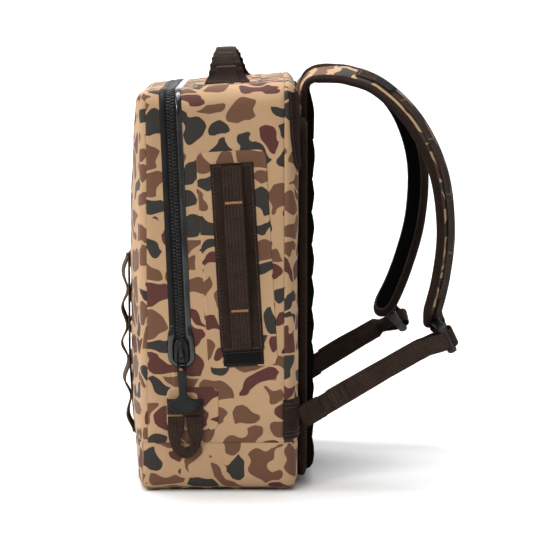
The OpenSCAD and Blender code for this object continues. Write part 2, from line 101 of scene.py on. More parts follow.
def area_light(name, place, target, size, power, colour=(1, 1, 1)):
    data = bpy.data.lights.new(name, "AREA")
    data.shape = "RECTANGLE"
    data.size, data.size_y = size
    data.energy = power
    data.color = colour
    obj = bpy.data.objects.new(name, data)
    bpy.context.collection.objects.link(obj)
    look(obj, place, target)
    return obj


scene = bpy.context.scene
scene.view_settings.view_transform = "Standard"
cam_data = bpy.data.cameras.new("camera")
cam_data.lens = 155
cam_data.clip_end = 50
camera = bpy.data.objects.new("camera", cam_data)
bpy.context.collection.objects.link(camera)
look(camera, (2.9776, 0.0644, 0.6246), (0, 0.0644, 0.259))
scene.camera = camera

world = bpy.data.worlds.new("world")
world.use_nodes = True
world.node_tree.nodes["Background"].inputs["Color"].default_value = (1, 1, 1, 1)
world.node_tree.nodes["Background"].inputs["Strength"].default_value = 0.25
scene.world = world
area_light("key", (2.4, -1.8, 1.9), (0.1, 0.0, 0.25), (0.9, 0.9), 43, (1, 0.985, 0.96))
area_light("front", (0.5, -2.4, 2.2), (0, 0.1, 0.05), (0.8, 0.8), 30)
area_light("above", (0.3, -0.2, 2.8), (0, 0.05, 0), (1.4, 1.4), 24)
area_light("strip", (2.3, 2.0, 0.5), (0.1, 0, 0.25), (0.22, 1.6), 3)
area_light("backdrop", (-0.6, 0, 3.2), (-2.6, 0, 0.6), (3, 1.2), 130)


# ---------------------------------------------------------------- materials

def rgb(hexa, gain=1.0):
    out = []
    for i in (1, 3, 5):
        c = int(hexa[i:i + 2], 16) / 255
        c = c / 12.92 if c <= 0.04045 else ((c + 0.055) / 1.055) ** 2.4
        out.append(min(1, c * gain))
    return (*out, 1)


class Nodes:
    """One Principled material, with short calls to add nodes."""

    def __init__(self, name, rough=0.6, sheen=0.0, coat=0.0, spec=0.5):
        self.m = bpy.data.materials.new(name)
        self.m.use_nodes = True
        self.t = self.m.node_tree
        self.b = self.t.nodes["Principled BSDF"]
        self.b.inputs["Roughness"].default_value = rough
        self.b.inputs["Specular IOR Level"].default_value = spec
        if sheen:
            self.b.inputs["Sheen Weight"].default_value = sheen
            self.b.inputs["Sheen Roughness"].default_value = 0.4
        if coat:
            self.b.inputs["Coat Weight"].default_value = coat
            self.b.inputs["Coat Roughness"].default_value = 0.18

    def put(self, socket, v):
        if isinstance(v, bpy.types.NodeSocket):
            self.t.links.new(v, socket)
        else:
            socket.default_value = v

    def add(self, kind, inputs=(), **attrs):
        n = self.t.nodes.new("ShaderNode" + kind)
        for k, v in attrs.items():
            setattr(n, k, v)
        for k, v in dict(inputs).items():
            self.put(n.inputs[k], v)
        return n

    def math(self, op, a, b=0.0, clamp=False):
        return self.add("Math", {0: a, 1: b}, operation=op, use_clamp=clamp).outputs[0]

    def vec(self, op, a, b=(0, 0, 0)):
        n = self.add("VectorMath", {0: a}, operation=op)
        self.put(n.inputs["Scale"] if op == "SCALE" else n.inputs[1], b)
        return n.outputs[0]

    def cloth(self):
        """The fabric's own coordinates, in metres, kept as an attribute of the mesh."""
        return self.add("Attribute", attribute_name="cloth").outputs["Vector"]

    def place(self):
        return self.add("TexCoord").outputs["Object"]

    def noise(self, at, scale, detail=2.0, rough=0.5, out="Fac"):
        return self.add("TexNoise", {"Vector": at, "Scale": scale, "Detail": detail, "Roughness": rough}).outputs[out]

    def range(self, v, a, b, c, d):
        return self.add("MapRange", {"Value": v, "From Min": a, "From Max": b, "To Min": c, "To Max": d}).outputs[0]

    def mix(self, f, a, b, mode="MIX"):
        n = self.add("Mix", data_type="RGBA", blend_type=mode)
        self.put(n.inputs["Factor"], f)
        self.put(n.inputs[6], a)
        self.put(n.inputs[7], b)
        return n.outputs[2]

    def split(self, v):
        n = self.add("SeparateXYZ", {0: v})
        return n.outputs[0], n.outputs[1], n.outputs[2]

    def wave(self, v, length, phase=0.0):
        """0 to 1 and back over each length in metres."""
        turns = self.math("ADD", self.math("MULTIPLY", v, 2 * math.pi / length), phase)
        return self.range(self.math("SINE", turns), -1, 1, 0, 1)

    def bump(self, height, distance, strength=1.0, after=None):
        n = self.add("Bump", {"Height": height, "Distance": distance, "Strength": strength})
        if after is not None:
            self.put(n.inputs["Normal"], after)
        return n.outputs[0]

    def done(self, colour=None, normal=None, rough=None):
        if colour is not None:
            self.put(self.b.inputs["Base Color"], colour)
        if normal is not None:
            self.put(self.b.inputs["Normal"], normal)
        if rough is not None:
            self.put(self.b.inputs["Roughness"], rough)
        return self.m


def camo(name="camo_laminate"):
    n = Nodes(name, rough=0.62, spec=0.2)
    p = n.cloth()
    wide = n.noise(p, 18, 1.0, 0.4, "Color")
    fine = n.noise(p, 44, 0.0, 0.5, "Color")
    q = n.vec("ADD", p, n.vec("SCALE", n.vec("SUBTRACT", wide, (0.5, 0.5, 0.5)), 0.045))
    q = n.vec("ADD", q, n.vec("SCALE", n.vec("SUBTRACT", fine, (0.5, 0.5, 0.5)), 0.02))
    q = n.vec("MULTIPLY", q, (0.8, 1.15, 0.0))
    cells = {"Vector": q, "Scale": 30.5, "Randomness": 0.95}
    first = n.add("TexVoronoi", cells, voronoi_dimensions="2D", feature="F1")
    own = first.outputs["Distance"]
    second = n.add("TexVoronoi", cells, voronoi_dimensions="2D", feature="F2").outputs["Distance"]
    pick = n.split(first.outputs["Color"])[0]
    # lobes round each cell's middle with a slow wobble, kept apart by a narrow gap
    lobe = n.math("SUBTRACT", n.math("MULTIPLY", second, 0.5), n.math("MULTIPLY", own, 1.2))
    lobe = n.math("ADD", lobe, n.math("MULTIPLY", n.math("SUBTRACT", n.noise(p, 43, 0.0), 0.5), 1.3))
    apart = n.math("SUBTRACT", n.math("SUBTRACT", second, own), 0.12)
    shown = n.range(n.math("MINIMUM", n.math("ADD", lobe, 0.235), apart), -0.01, 0.01, 0, 1)
    tan, brown, maroon, dark = rgb("#B79572"), rgb("#6B4A37"), rgb("#56302B"), rgb("#33302C")
    blob = n.mix(n.math("GREATER_THAN", pick, 0.46), brown, dark)
    blob = n.mix(n.math("GREATER_THAN", pick, 0.76), blob, maroon)
    colour = n.mix(shown, tan, blob)
    # plain weave under a thin laminate, and slow changes of shade
    x, y, _ = n.split(p)
    weave = n.math("MULTIPLY", n.wave(x, 0.0009), n.wave(y, 0.0009))
    shade = n.range(n.noise(p, 9, 3, 0.6), 0.3, 0.7, 0.94, 1.05)
    shade = n.math("MULTIPLY", shade, n.range(weave, 0, 1, 0.95, 1.03))
    colour = n.mix(1.0, colour, n.add("CombineXYZ", {0: shade, 1: shade, 2: shade}).outputs[0], "MULTIPLY")
    normal = n.bump(n.noise(p, 55, 3, 0.55), 0.0006, 0.6, n.bump(weave, 0.00012, 0.8))
    return n.done(colour, normal, n.range(n.noise(p, 30, 2), 0.3, 0.7, 0.54, 0.7))


def webbing(name, dark, light, rib=0.0017, rough=0.82, flecks=0.5, depth=0.00035, rib_shade_pitch=0.0):
    n = Nodes(name, rough=rough, spec=0.06)
    p = n.cloth()
    x, y, _ = n.split(p)
    across = n.wave(x, rib)
    row = n.math("MULTIPLY", n.math("FLOOR", n.math("DIVIDE", x, rib)), math.pi)
    along = n.wave(y, 0.0022, row)
    yarn = n.math("MULTIPLY", n.math("POWER", across, 0.7), n.range(along, 0, 1, 0.35, 1))
    fleck = n.noise(n.vec("MULTIPLY", p, (1400, 420, 1)), 1.0, 2)
    tone = n.math("ADD", n.math("MULTIPLY", yarn, 0.5), n.math("MULTIPLY", n.range(fleck, 0.35, 0.7, 0, 1), flecks))
    tone_and_rib_shade = n.range(n.noise(p, 45, 3), 0.35, 0.7, 0.8, 1.15)
    # painted shade: dark lines across the webbing at a set pitch stand in for the shade in the grooves between its
    # ribs
    if rib_shade_pitch:
        tone_and_rib_shade = n.math("MULTIPLY", tone_and_rib_shade, n.range(n.wave(x, rib_shade_pitch), 0.05, 0.5, 0.66, 1.03))
    colour = n.mix(n.math("MULTIPLY", tone, tone_and_rib_shade, True), dark, light)
    return n.done(colour, n.bump(yarn, depth, 1.0, n.bump(n.noise(p, 120, 2), 0.0005, 0.5)))


def knit(name, dark, light, cell=0.0026):
    """Spacer mesh: rows of small holes in a thick knit."""
    n = Nodes(name, rough=0.98, spec=0.0)
    p = n.cloth()
    x, y, _ = n.split(p)
    row = n.math("MULTIPLY", n.math("FLOOR", n.math("DIVIDE", y, cell)), math.pi)
    hole = n.math("MULTIPLY", n.wave(x, cell, row), n.wave(y, cell * 2))
    hole = n.range(hole, 0.35, 0.75, 0, 1)
    colour = n.mix(hole, light, dark)
    return n.done(colour, n.bump(n.math("SUBTRACT", 1.0, hole), 0.0006, 0.9, n.bump(n.noise(p, 60, 3), 0.001, 0.5)))


def moulded(name, colour, rough=0.4, grain=900, coat=0.0, wear=None, spec=0.5):
    n = Nodes(name, rough=rough, coat=coat, spec=spec)
    p = n.place()
    spots = n.noise(p, grain, 3, 0.6)
    tone = n.range(n.noise(p, 60, 3, 0.6), 0.3, 0.7, 0, 1)
    shown = n.mix(tone, colour, wear or tuple(min(1, c * 1.35 + 0.004) for c in colour[:3]) + (1,))
    return n.done(shown, n.bump(spots, 0.00008, 0.6), n.range(n.noise(p, 90, 3), 0.3, 0.7, rough * 0.85, rough * 1.2))


def thread(name, dark, light):
    n = Nodes(name, rough=0.6, sheen=0.2)
    p = n.place()
    twist = n.add("TexWave", {"Vector": p, "Scale": 900.0, "Distortion": 3.0, "Detail": 1.0}).outputs["Fac"]
    return n.done(n.mix(n.math("MULTIPLY", twist, n.range(n.noise(p, 300, 2), 0.3, 0.7, 0.5, 1.2)), dark, light),
                  n.bump(twist, 0.0001, 0.7))


CAMO = camo()
# this webbing gets painted rib shade, dark lines 4.1 mm apart across it
WEB = webbing("webbing", rgb("#150f0c"), rgb("#54433a"), rib_shade_pitch=0.0041)
WEB_PALE = webbing("ladder_webbing", rgb("#2b2019"), rgb("#87705e"), rib=0.0014)
BINDING = webbing("binding", rgb("#150e0b"), rgb("#3c2c24"), rib=0.0009, depth=0.0002)
CLOTH_DARK = webbing("backing_cloth", rgb("#140e0c"), rgb("#463830"), rib=0.0011, depth=0.0002)
LINING = knit("lining", rgb("#3b3c3d"), rgb("#6d6e6f"), 0.0012)
FOAM_MESH = knit("spacer_mesh", rgb("#020202"), rgb("#100f0e"))
POCKET_MESH = knit("pocket_mesh", rgb("#0c0c0c"), rgb("#3c3c3c"), 0.003)
FLANGE = moulded("zipper_rubber", rgb("#070606"), rough=0.24, coat=0.5, spec=0.5)
FLANGE_MATT = moulded("zipper_rubber_matt", rgb("#0b0a0a"), rough=0.55, spec=0.2)
TEETH = moulded("zipper_teeth", rgb("#0e0d0d"), rough=0.3, spec=0.45)
PLASTIC = moulded("moulded_black", rgb("#08090a"), rough=0.4, spec=0.35)
RUBBER = moulded("pull_rubber", rgb("#191b1c"), rough=0.62, spec=0.2)
STIFF = moulded("stiffener_plastic", rgb("#2a2a2a"), rough=0.55, grain=500)
LABEL = webbing("label_black", rgb("#0b0b0b"), rgb("#1d1c1b"), rib=0.0006, rough=0.6, depth=0.0001)
CORD = webbing("cord", rgb("#0e0d0d"), rgb("#2c2b2a"), rib=0.0008)
TAN_THREAD = thread("tan_thread", rgb("#8a5a2c"), rgb("#c89560"))
DARK_THREAD = thread("dark_thread", rgb("#1d1512"), rgb("#6a5446"))


# ---------------------------------------------------------------- mesh helpers

def unit(v):
    return v / np.maximum(np.linalg.norm(v, axis=-1, keepdims=True), 1e-9)


def step(a, b, t):
    x = np.clip((t - a) / (b - a), 0, 1)
    return x * x * (3 - 2 * x)


def mix(a, b, t):
    return a + (b - a) * t


class Part:
    """Points in millimetres, with their fabric coordinates, that become one object."""

    def __init__(self):
        self.v, self.c, self.f, self.m, self.count = [], [], [], [], 0

    def add(self, v, faces, mat=0, cloth=None):
        v = np.asarray(v, float).reshape(-1, 3)
        c = v if cloth is None else np.asarray(cloth, float).reshape(-1, 3)
        self.v.append(v)
        self.c.append(c)
        self.f.extend(tuple(i + self.count for i in face) for face in faces)
        self.m.extend([mat] * len(faces))
        self.count += len(v)

    def grid(self, p, cloth=None, mat=0, out=None, loop=False, caps=False):
        """A grid of points as quads.

        out is the side that its faces look to; loop joins its last column to its first.
        """
        rows, cols = p.shape[:2]
        flip = False
        if out is not None:
            cross = np.cross(p[1:, 1:] - p[:-1, :-1], p[1:, :-1] - p[:-1, 1:])
            flip = float((cross * (out[:-1, :-1] if np.ndim(out) == 3 else out)).sum()) < 0
        faces = []
        for i in range(rows - 1):
            for j in range(cols if loop else cols - 1):
                k = (j + 1) % cols
                face = (i * cols + j, i * cols + k, (i + 1) * cols + k, (i + 1) * cols + j)
                faces.append(face[::-1] if flip else face)
        if caps:
            first, last = tuple(range(cols)), tuple((rows - 1) * cols + j for j in range(cols))
            faces += [first if flip else first[::-1], last[::-1] if flip else last]
        self.add(p, faces, mat, cloth)

    def build(self, name, mats, weld=0.0, smooth=True):
        mesh = bpy.data.meshes.new(name)
        v = np.concatenate(self.v) * MM
        mesh.from_pydata(v.tolist(), [], self.f)
        for m in mats if isinstance(mats, (list, tuple)) else [mats]:
            mesh.materials.append(m)
        mesh.polygons.foreach_set("material_index", self.m)
        mesh.polygons.foreach_set("use_smooth", [smooth] * len(self.f))
        layer = mesh.attributes.new("cloth", "FLOAT_VECTOR", "POINT")
        layer.data.foreach_set("vector", (np.concatenate(self.c) * MM).astype(np.float32).ravel())
        if weld:
            b = bmesh.new()
            b.from_mesh(mesh)
            bmesh.ops.remove_doubles(b, verts=b.verts, dist=weld * MM)
            b.to_mesh(mesh)
            b.free()
        mesh.update()
        obj = bpy.data.objects.new(name, mesh)
        bpy.context.collection.objects.link(obj)
        return obj


def thicken(obj, depth, inner=None, rim=None):
    m = obj.modifiers.new("thickness", "SOLIDIFY")
    m.thickness = depth * MM
    m.offset = -1
    if inner is not None:
        m.material_offset = inner
    if rim is not None:
        m.material_offset_rim = rim
    return obj


def finish_piece(obj, body=None, slot=None, replaces=(), blend=None, padded=None):
    if replaces:
        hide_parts(*replaces)
    if blend:
        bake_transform(obj)
    else:
        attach(obj, body)
    return obj


def spread(a, b, pitch, fine=(0.6, 1.4, 2.6)):
    """Values from a to b about a pitch apart, closer together at both ends."""
    length = abs(b - a)
    inner = np.linspace(fine[-1], length - fine[-1], max(2, int(length / pitch)))
    d = np.concatenate([[0], fine[:-1], inner, length - np.array(fine[:-1][::-1]), [length]])
    return a + np.sign(b - a) * d


def resample(line, pitch):
    line = np.asarray(line, float)
    d = np.concatenate([[0], np.cumsum(np.linalg.norm(np.diff(line[:, :3], axis=0), axis=1))])
    n = max(2, int(round(d[-1] / pitch)) + 1)
    at = np.linspace(0, d[-1], n)
    return np.stack([np.interp(at, d, line[:, k]) for k in range(line.shape[1])], 1), at


def stitches(part, line, normals, mat, pitch=4.2, gap=1.2, r=0.34, lift=0.1):
    """A row of separate stitches along a line that lies on cloth."""
    both, at = resample(np.concatenate([line, np.broadcast_to(normals, np.shape(line))], 1), 0.7)
    total = at[-1]
    for k in range(max(1, int(total / pitch))):
        a = k * pitch + gap / 2
        b = min(a + pitch - gap, total)
        if b - a < 0.8:
            continue
        s = np.linspace(a, b, 4)
        row = np.stack([np.interp(s, at, both[:, i]) for i in range(6)], 1)
        p, n = row[:, :3], unit(row[:, 3:])
        t = unit(np.gradient(p, axis=0))
        w = unit(np.cross(t, n))
        ring = []
        for i in range(4):
            rise, size = ((-0.9, 0.55), (0.55, 1.0), (0.55, 1.0), (-0.9, 0.55))[i]
            mid = p[i] + n[i] * (lift + rise * r)
            ring.append([mid + (w[i] * math.cos(a_) + n[i] * 0.7 * math.sin(a_)) * r * size
                         for a_ in (0.3, 1.57, 2.84, 4.2, 5.2)])
        part.grid(np.array(ring), mat=mat, loop=True, caps=True)


def bar_tack(part, mid, across, along, normal, length, width, mat, r=0.3, lift=0.1):
    """A dense bar of thread: short stitches side by side."""
    n = int(length / 0.85)
    for k in range(n):
        c = mid + across * ((k + 0.5) / n - 0.5) * length
        wob = 0.25 * math.sin(k * 2.4)
        line = np.array([c - along * (width / 2 + wob), c, c + along * (width / 2 - wob)])
        stitches(part, line, normal, mat, pitch=width + 0.01, gap=0.0, r=r, lift=lift)


def strip_section(half, t, cols=7, edge=0.4):
    """Round-edged cross-section of a flat band: columns of (across, out) all the way round."""
    a = np.sin(np.linspace(-math.pi / 2, math.pi / 2, cols)) * half
    a = mix(a, np.linspace(-half, half, cols), 0.5)
    near = np.where(np.abs(a) > half * 0.985, edge, 1.0) * t / 2
    return np.concatenate([np.stack([a, near], 1), np.stack([a[::-1], -near[::-1]], 1)])


def sweep(part, line, normals, half, t, mat=0, cols=7, crown=None, caps=True, start=0.0, edge=0.4, sections=None):
    """A band along a line. half and t may change along it; crown(across, along) lifts its face."""
    line = np.asarray(line, float)
    n = len(line)
    normals = np.broadcast_to(normals, line.shape)
    half, t = np.broadcast_to(half, n), np.broadcast_to(t, n)
    tan = unit(np.gradient(line, axis=0))
    w = unit(np.cross(tan, normals))
    face = unit(np.cross(w, tan))
    d = np.concatenate([[0], np.cumsum(np.linalg.norm(np.diff(line, axis=0), axis=1))]) + start
    rings, cloth = [], []
    for i in range(n):
        s = strip_section(half[i], t[i], cols, edge) if sections is None else sections(i, half[i], t[i])
        lift = np.zeros(len(s)) if crown is None else crown(s, i)
        rings.append(line[i] + w[i] * s[:, :1] + face[i] * (s[:, 1:] + lift[:, None]))
        cloth.append(np.stack([s[:, 0], np.full(len(s), d[i]), s[:, 1]], 1))
    rings = np.array(rings)
    out = rings - line[:, None, :]
    part.grid(rings, np.array(cloth), mat, out=out, loop=True, caps=caps)
    return rings


# ---------------------------------------------------------------- the body's surface

HW = high("right_side_panel")[0]
SEAM_Y, BEVEL_Y, BACK_Y = -84.0, low("back_panel")[1], 102.0
BASE_Z = high("base_tub")[2]
# heights on the walls are row heights, from BASE_Z at the seam to ROW_TOP, which stands for the sloping top
ROW_TOP = 500
GARAGE_Z = 166.0
TILT = math.radians(2.3)
FOLD = ("pack", "front_lid", (0, -0.0543, 0.166), (0, -0.0543 - 0.018, 0.166 + 0.0412))


def top_z(y):
    return 495 + (np.clip(y, -82, 88) + 82) * math.tan(math.radians(4.4))


def zip_y(z):
    return -41 - (z - 160) * math.tan(TILT)


def front_y(x, z):
    a = 19 * (np.minimum(np.abs(x), 163) / 163) ** 2.4
    b = 13 * ((np.clip(z, 18, 478) - 250) / 228) ** 2
    h = np.maximum(4 - np.abs(a - b), 0)
    return -112 + np.maximum(a, b) + h * h / 16


def skin(b, lift=0.0):
    """Point on the pack for a point b of its sharp-cornered box, lifted off it, and the surface's normal there."""
    b = np.asarray(b, float)
    x, y, z = b[..., 0], b[..., 1], b[..., 2]
    top = top_z(y)
    f, k = step(-60, -84, y), step(62, 90, y)
    t, g = step(-60, -20, z - top), step(62, 18, z)
    rx = mix(mix(mix(mix(20, 12, f), 25, k), mix(mix(30, 14, f), 26, k), t), mix(mix(22, 13, f), 22, k), g)
    cyf = mix(mix(-80, -82, t), -84, g)
    ryf, ryb = cyf - front_y(x, z), mix(mix(17, 14, t), 16, g)
    rzt, rzb = mix(mix(30, 17, f), 26, k), mix(mix(20, 18, f), 16, k)
    c = np.stack([np.clip(x, rx - HW, HW - rx), np.clip(y, cyf, BACK_Y - ryb), np.clip(z, rzb, top - rzt)], -1)
    r = np.stack([rx, np.where(y < 0, ryf, ryb), np.where(z < 250, rzb, rzt)], -1)
    n = unit((b - c) / r)
    p = c + r * n
    normal = unit(n / r)
    # slack cloth: slow waves, calm near the seams
    wave = (np.sin(0.031 * p[..., 2] + 0.023 * p[..., 1] + 0.4) * np.sin(0.027 * p[..., 0] - 0.035 * p[..., 1] + 1.1)
            + 0.5 * np.sin(0.071 * p[..., 2] - 0.052 * p[..., 1] + 0.019 * p[..., 0])
            + 0.3 * np.sin(0.13 * p[..., 1] + 0.11 * p[..., 2] - 0.09 * p[..., 0] + 2.0))
    side = np.abs(n[..., 0])
    groove = np.maximum(np.exp(-((z - BASE_Z) / 1.6) ** 2),
                        np.exp(-(np.minimum(np.abs(y - SEAM_Y), np.abs(y - BEVEL_Y)) / 1.5) ** 2)
                        * (1 - np.abs(n[..., 1])))
    puff = 0.55 * wave * step(0, 25, z) - 1.1 * groove
    puff = puff + 1.2 * side * step(90, 200, z) * step(470, 330, z) * step(-80, -20, y) * step(85, 30, y)
    return p + normal * (puff + lift)[..., None], normal


def pair(a, b):
    return np.meshgrid(np.asarray(a, float), np.asarray(b, float), indexing="ij")


def body_grid(part, box_points, cloth, mat=0):
    p, n = skin(box_points)
    part.grid(p, cloth, mat, out=n)


def wrap_band(part, y_front, y_back, rows_z, shift, fine=(0.6, 1.4, 2.6), pitch=4.5):
    """Cloth from the right base seam over the top to the left one, between two lines given as y at a height."""
    v = spread(0, 1000, 1000 / max(3, (y_back(300) - y_front(300)) / pitch), tuple(f * 8 for f in fine)) / 1000
    ups, across = rows_z, np.linspace(1, -1, 79)
    rows = [("side", HW, z) for z in ups] + [("top", HW * a, 0) for a in across[1:-1]] + \
           [("side", -HW, z) for z in ups[::-1]]
    pts, cl = [], []
    for kind, x, z in rows:
        if kind == "side":
            zf = min(z, 505)
            y = mix(y_front(zf), y_back(zf), v)
            zz = BASE_Z + (top_z(y) - BASE_Z) * (z - BASE_Z) / (ups[-1] - BASE_Z)
            s = (zz - BASE_Z) if x > 0 else (ROW_TOP - BASE_Z) * 2 + 2 * HW - (zz - BASE_Z)
        else:
            y = mix(y_front(ROW_TOP), y_back(ROW_TOP), v)
            zz = top_z(y)
            s = (ROW_TOP - BASE_Z) + (HW - x) + 0 * y
        pts.append(np.stack([np.full(len(v), x), y, zz], -1))
        cl.append(np.stack([y + shift[0], s + shift[1], 0 * y], -1))
    body_grid(part, np.array(pts), np.array(cl))


Z_ROWS = np.concatenate([spread(BASE_Z, GARAGE_Z, 5), np.arange(171, 470, 5.0), np.linspace(470, ROW_TOP, 9)])

# side and top cloth behind the zipper
body = Part()
wrap_band(body, lambda z: zip_y(z) + 13, lambda z: BEVEL_Y, Z_ROWS, (300, 0))
for sx in (1, -1):
    zs = Z_ROWS[Z_ROWS <= GARAGE_Z + 0.1]
    vv = np.linspace(0, 1, 7)
    Z, V = pair(zs, vv)
    Y = zip_y(Z) - 13 + 26 * V
    zz = BASE_Z + (top_z(Y) - BASE_Z) * (Z - BASE_Z) / (Z_ROWS[-1] - BASE_Z)
    s = (zz - BASE_Z) if sx > 0 else (ROW_TOP - BASE_Z) * 2 + 2 * HW - (zz - BASE_Z)
    body_grid(body, np.stack([sx * HW + 0 * Y, Y, zz], -1), np.stack([Y + 300, s, 0 * Y], -1))
side_skin = thicken(body.build("side_and_top_skin", [CAMO, LINING], weld=0.02), 2.4, 1, 0)
finish_piece(side_skin, "pack", "camo_laminate", ("right_side_panel", "left_side_panel", "top_panel"))

# gusset ahead of the zipper
body = Part()
wrap_band(body, lambda z: SEAM_Y, lambda z: zip_y(z) - 13, Z_ROWS, (300, 0))
gusset = thicken(body.build("front_gusset_skin", [CAMO, LINING], weld=0.02), 2.4, 1, 0)
finish_piece(gusset, slot="camo_laminate", replaces=("front_gusset",), blend=FOLD)

# front panel, with its edges turned back to the seam
body = Part()
xs = np.concatenate([[-HW], np.linspace(-171, -140, 8), np.linspace(-135, 135, 55), np.linspace(140, 171, 8), [HW]])
zr = Z_ROWS.copy()
X, Z = pair(xs, zr)
zz = BASE_Z + (top_z(-93) - BASE_Z) * (Z - BASE_Z) / (Z_ROWS[-1] - BASE_Z)
body_grid(body, np.stack([X, front_y(X, zz), zz], -1), np.stack([X, Z, 0 * X], -1))
strip_v = np.array([0, 0.35, 0.6, 0.8, 0.92, 1.0])
for sx in (1, -1):
    V, Z = pair(strip_v, zr)
    zz = BASE_Z + (top_z(-93) - BASE_Z) * (Z - BASE_Z) / (Z_ROWS[-1] - BASE_Z)
    y0 = front_y(sx * HW, zz)
    Y = mix(y0, SEAM_Y, V)
    body_grid(body, np.stack([sx * HW + 0 * Y, Y, zz], -1), np.stack([sx * (HW + Y - y0), Z, 0 * Y], -1))
V, X = pair(strip_v, xs)
y0 = front_y(X, 0 * X + ROW_TOP)
Y = mix(y0, SEAM_Y, V)
body_grid(body, np.stack([X, Y, top_z(Y)], -1), np.stack([X, ROW_TOP + Y - y0, 0 * Y], -1))
front_skin = thicken(body.build("front_skin", [CAMO, LINING], weld=0.02), 2.4, 1, 0)
finish_piece(front_skin, slot="camo_laminate", replaces=("front_panel", "lower_front_panel"), blend=FOLD)

# back panel with its bevels
body = Part()
X, Z = pair(xs, zr)
zz = BASE_Z + (top_z(88) - BASE_Z) * (Z - BASE_Z) / (Z_ROWS[-1] - BASE_Z)
body_grid(body, np.stack([X, BACK_Y + 0 * X, zz], -1), np.stack([X + 900, Z, 0 * X], -1))
for sx in (1, -1):
    V, Z = pair(strip_v, zr)
    Y = mix(BACK_Y, BEVEL_Y, V)
    zz = BASE_Z + (top_z(Y) - BASE_Z) * (Z - BASE_Z) / (Z_ROWS[-1] - BASE_Z)
    body_grid(body, np.stack([sx * HW + 0 * Y, Y, zz], -1),
              np.stack([sx * (HW + BACK_Y - Y) + 900, Z, 0 * Y], -1))
V, X = pair(strip_v, xs)
Y = mix(BACK_Y, BEVEL_Y, V)
body_grid(body, np.stack([X, Y, top_z(Y)], -1), np.stack([X + 900, ROW_TOP + BACK_Y - Y, 0 * Y], -1))
back_skin = thicken(body.build("back_skin", [CAMO, LINING], weld=0.02), 2.4, 1, 0)
finish_piece(back_skin, "pack", "camo_laminate", ("back_panel",))

# base tub: rings from its seam down to the ground and in to the middle
corner = []
for a, b, n in (((HW, -93), (HW, BACK_Y), 46), ((HW, BACK_Y), (-HW, BACK_Y), 70),
                ((-HW, BACK_Y), (-HW, -93), 46), ((-HW, -93), (HW, -93), 70)):
    corner += [mix(np.array(a, float), np.array(b, float), i / n) for i in range(n)]
corner = np.array(corner)
turn = np.concatenate([[0], np.cumsum(np.linalg.norm(np.diff(corner, axis=0), axis=1))])
rings, cloth = [], []
for z in spread(BASE_Z, 0, 5):
    y = np.where(corner[:, 1] <= -92.9, front_y(corner[:, 0], np.full(len(corner), z)), corner[:, 1])
    rings.append(np.stack([corner[:, 0], y, np.full(len(corner), z)], -1))
    cloth.append(np.stack([turn + 1700, np.full(len(corner), z), 0 * turn], -1))
rim = rings[-1]
for k in np.linspace(0.97, 0.02, 14):
    rings.append(np.stack([rim[:, 0] * k, (rim[:, 1] + 0) * k, 0 * turn], -1))
    cloth.append(np.stack([rim[:, 0] * k + 1700, rim[:, 1] * k - 300, 0 * turn], -1))
body = Part()
p, n = skin(np.array(rings))
body.grid(p, np.array(cloth), out=n, loop=True)
tub_skin = thicken(body.build("base_tub_skin", [CAMO, LINING]), 2.6, 1, 0)
finish_piece(tub_skin, "pack", "camo_laminate", ("base_tub",))


# ---------------------------------------------------------------- zipper

def zip_rows(pitch, z_from):
    """Stations from the zipper's right end over the top to its left end: (x, height on the side, on top or not)."""
    up = np.arange(z_from, ROW_TOP, pitch)
    over = np.arange(HW, -HW, -pitch)
    rows = [(HW, z, 0) for z in up] + [(x, ROW_TOP, 1) for x in over] + [(-HW, z, 0) for z in up[::-1]]
    return np.array(rows)


def zip_points(rows, off, lift=0.0):
    y = zip_y(rows[:, 1]) + off
    top = top_z(y)
    z = np.where(rows[:, 2] > 0, top, BASE_Z + (top - BASE_Z) * (rows[:, 1] - BASE_Z) / (ROW_TOP - BASE_Z))
    return skin(np.stack([rows[:, 0], y, z], -1), lift)


def zip_profile(part, rows, profile, mat):
    cols = [zip_points(rows, o, h)[0] for o, h in profile]
    grid = np.stack(cols, 1)
    mid = grid.mean(1, keepdims=True)
    s = np.concatenate([[0], np.cumsum(np.linalg.norm(np.diff(mid[:, 0], axis=0), axis=1))])
    cloth = np.stack([np.broadcast_to([o for o, _ in profile], grid.shape[:2]),
                      np.broadcast_to(s[:, None], grid.shape[:2]), 0 * grid[..., 0]], -1)
    part.grid(grid, cloth, mat, out=grid - mid, loop=True, caps=True)


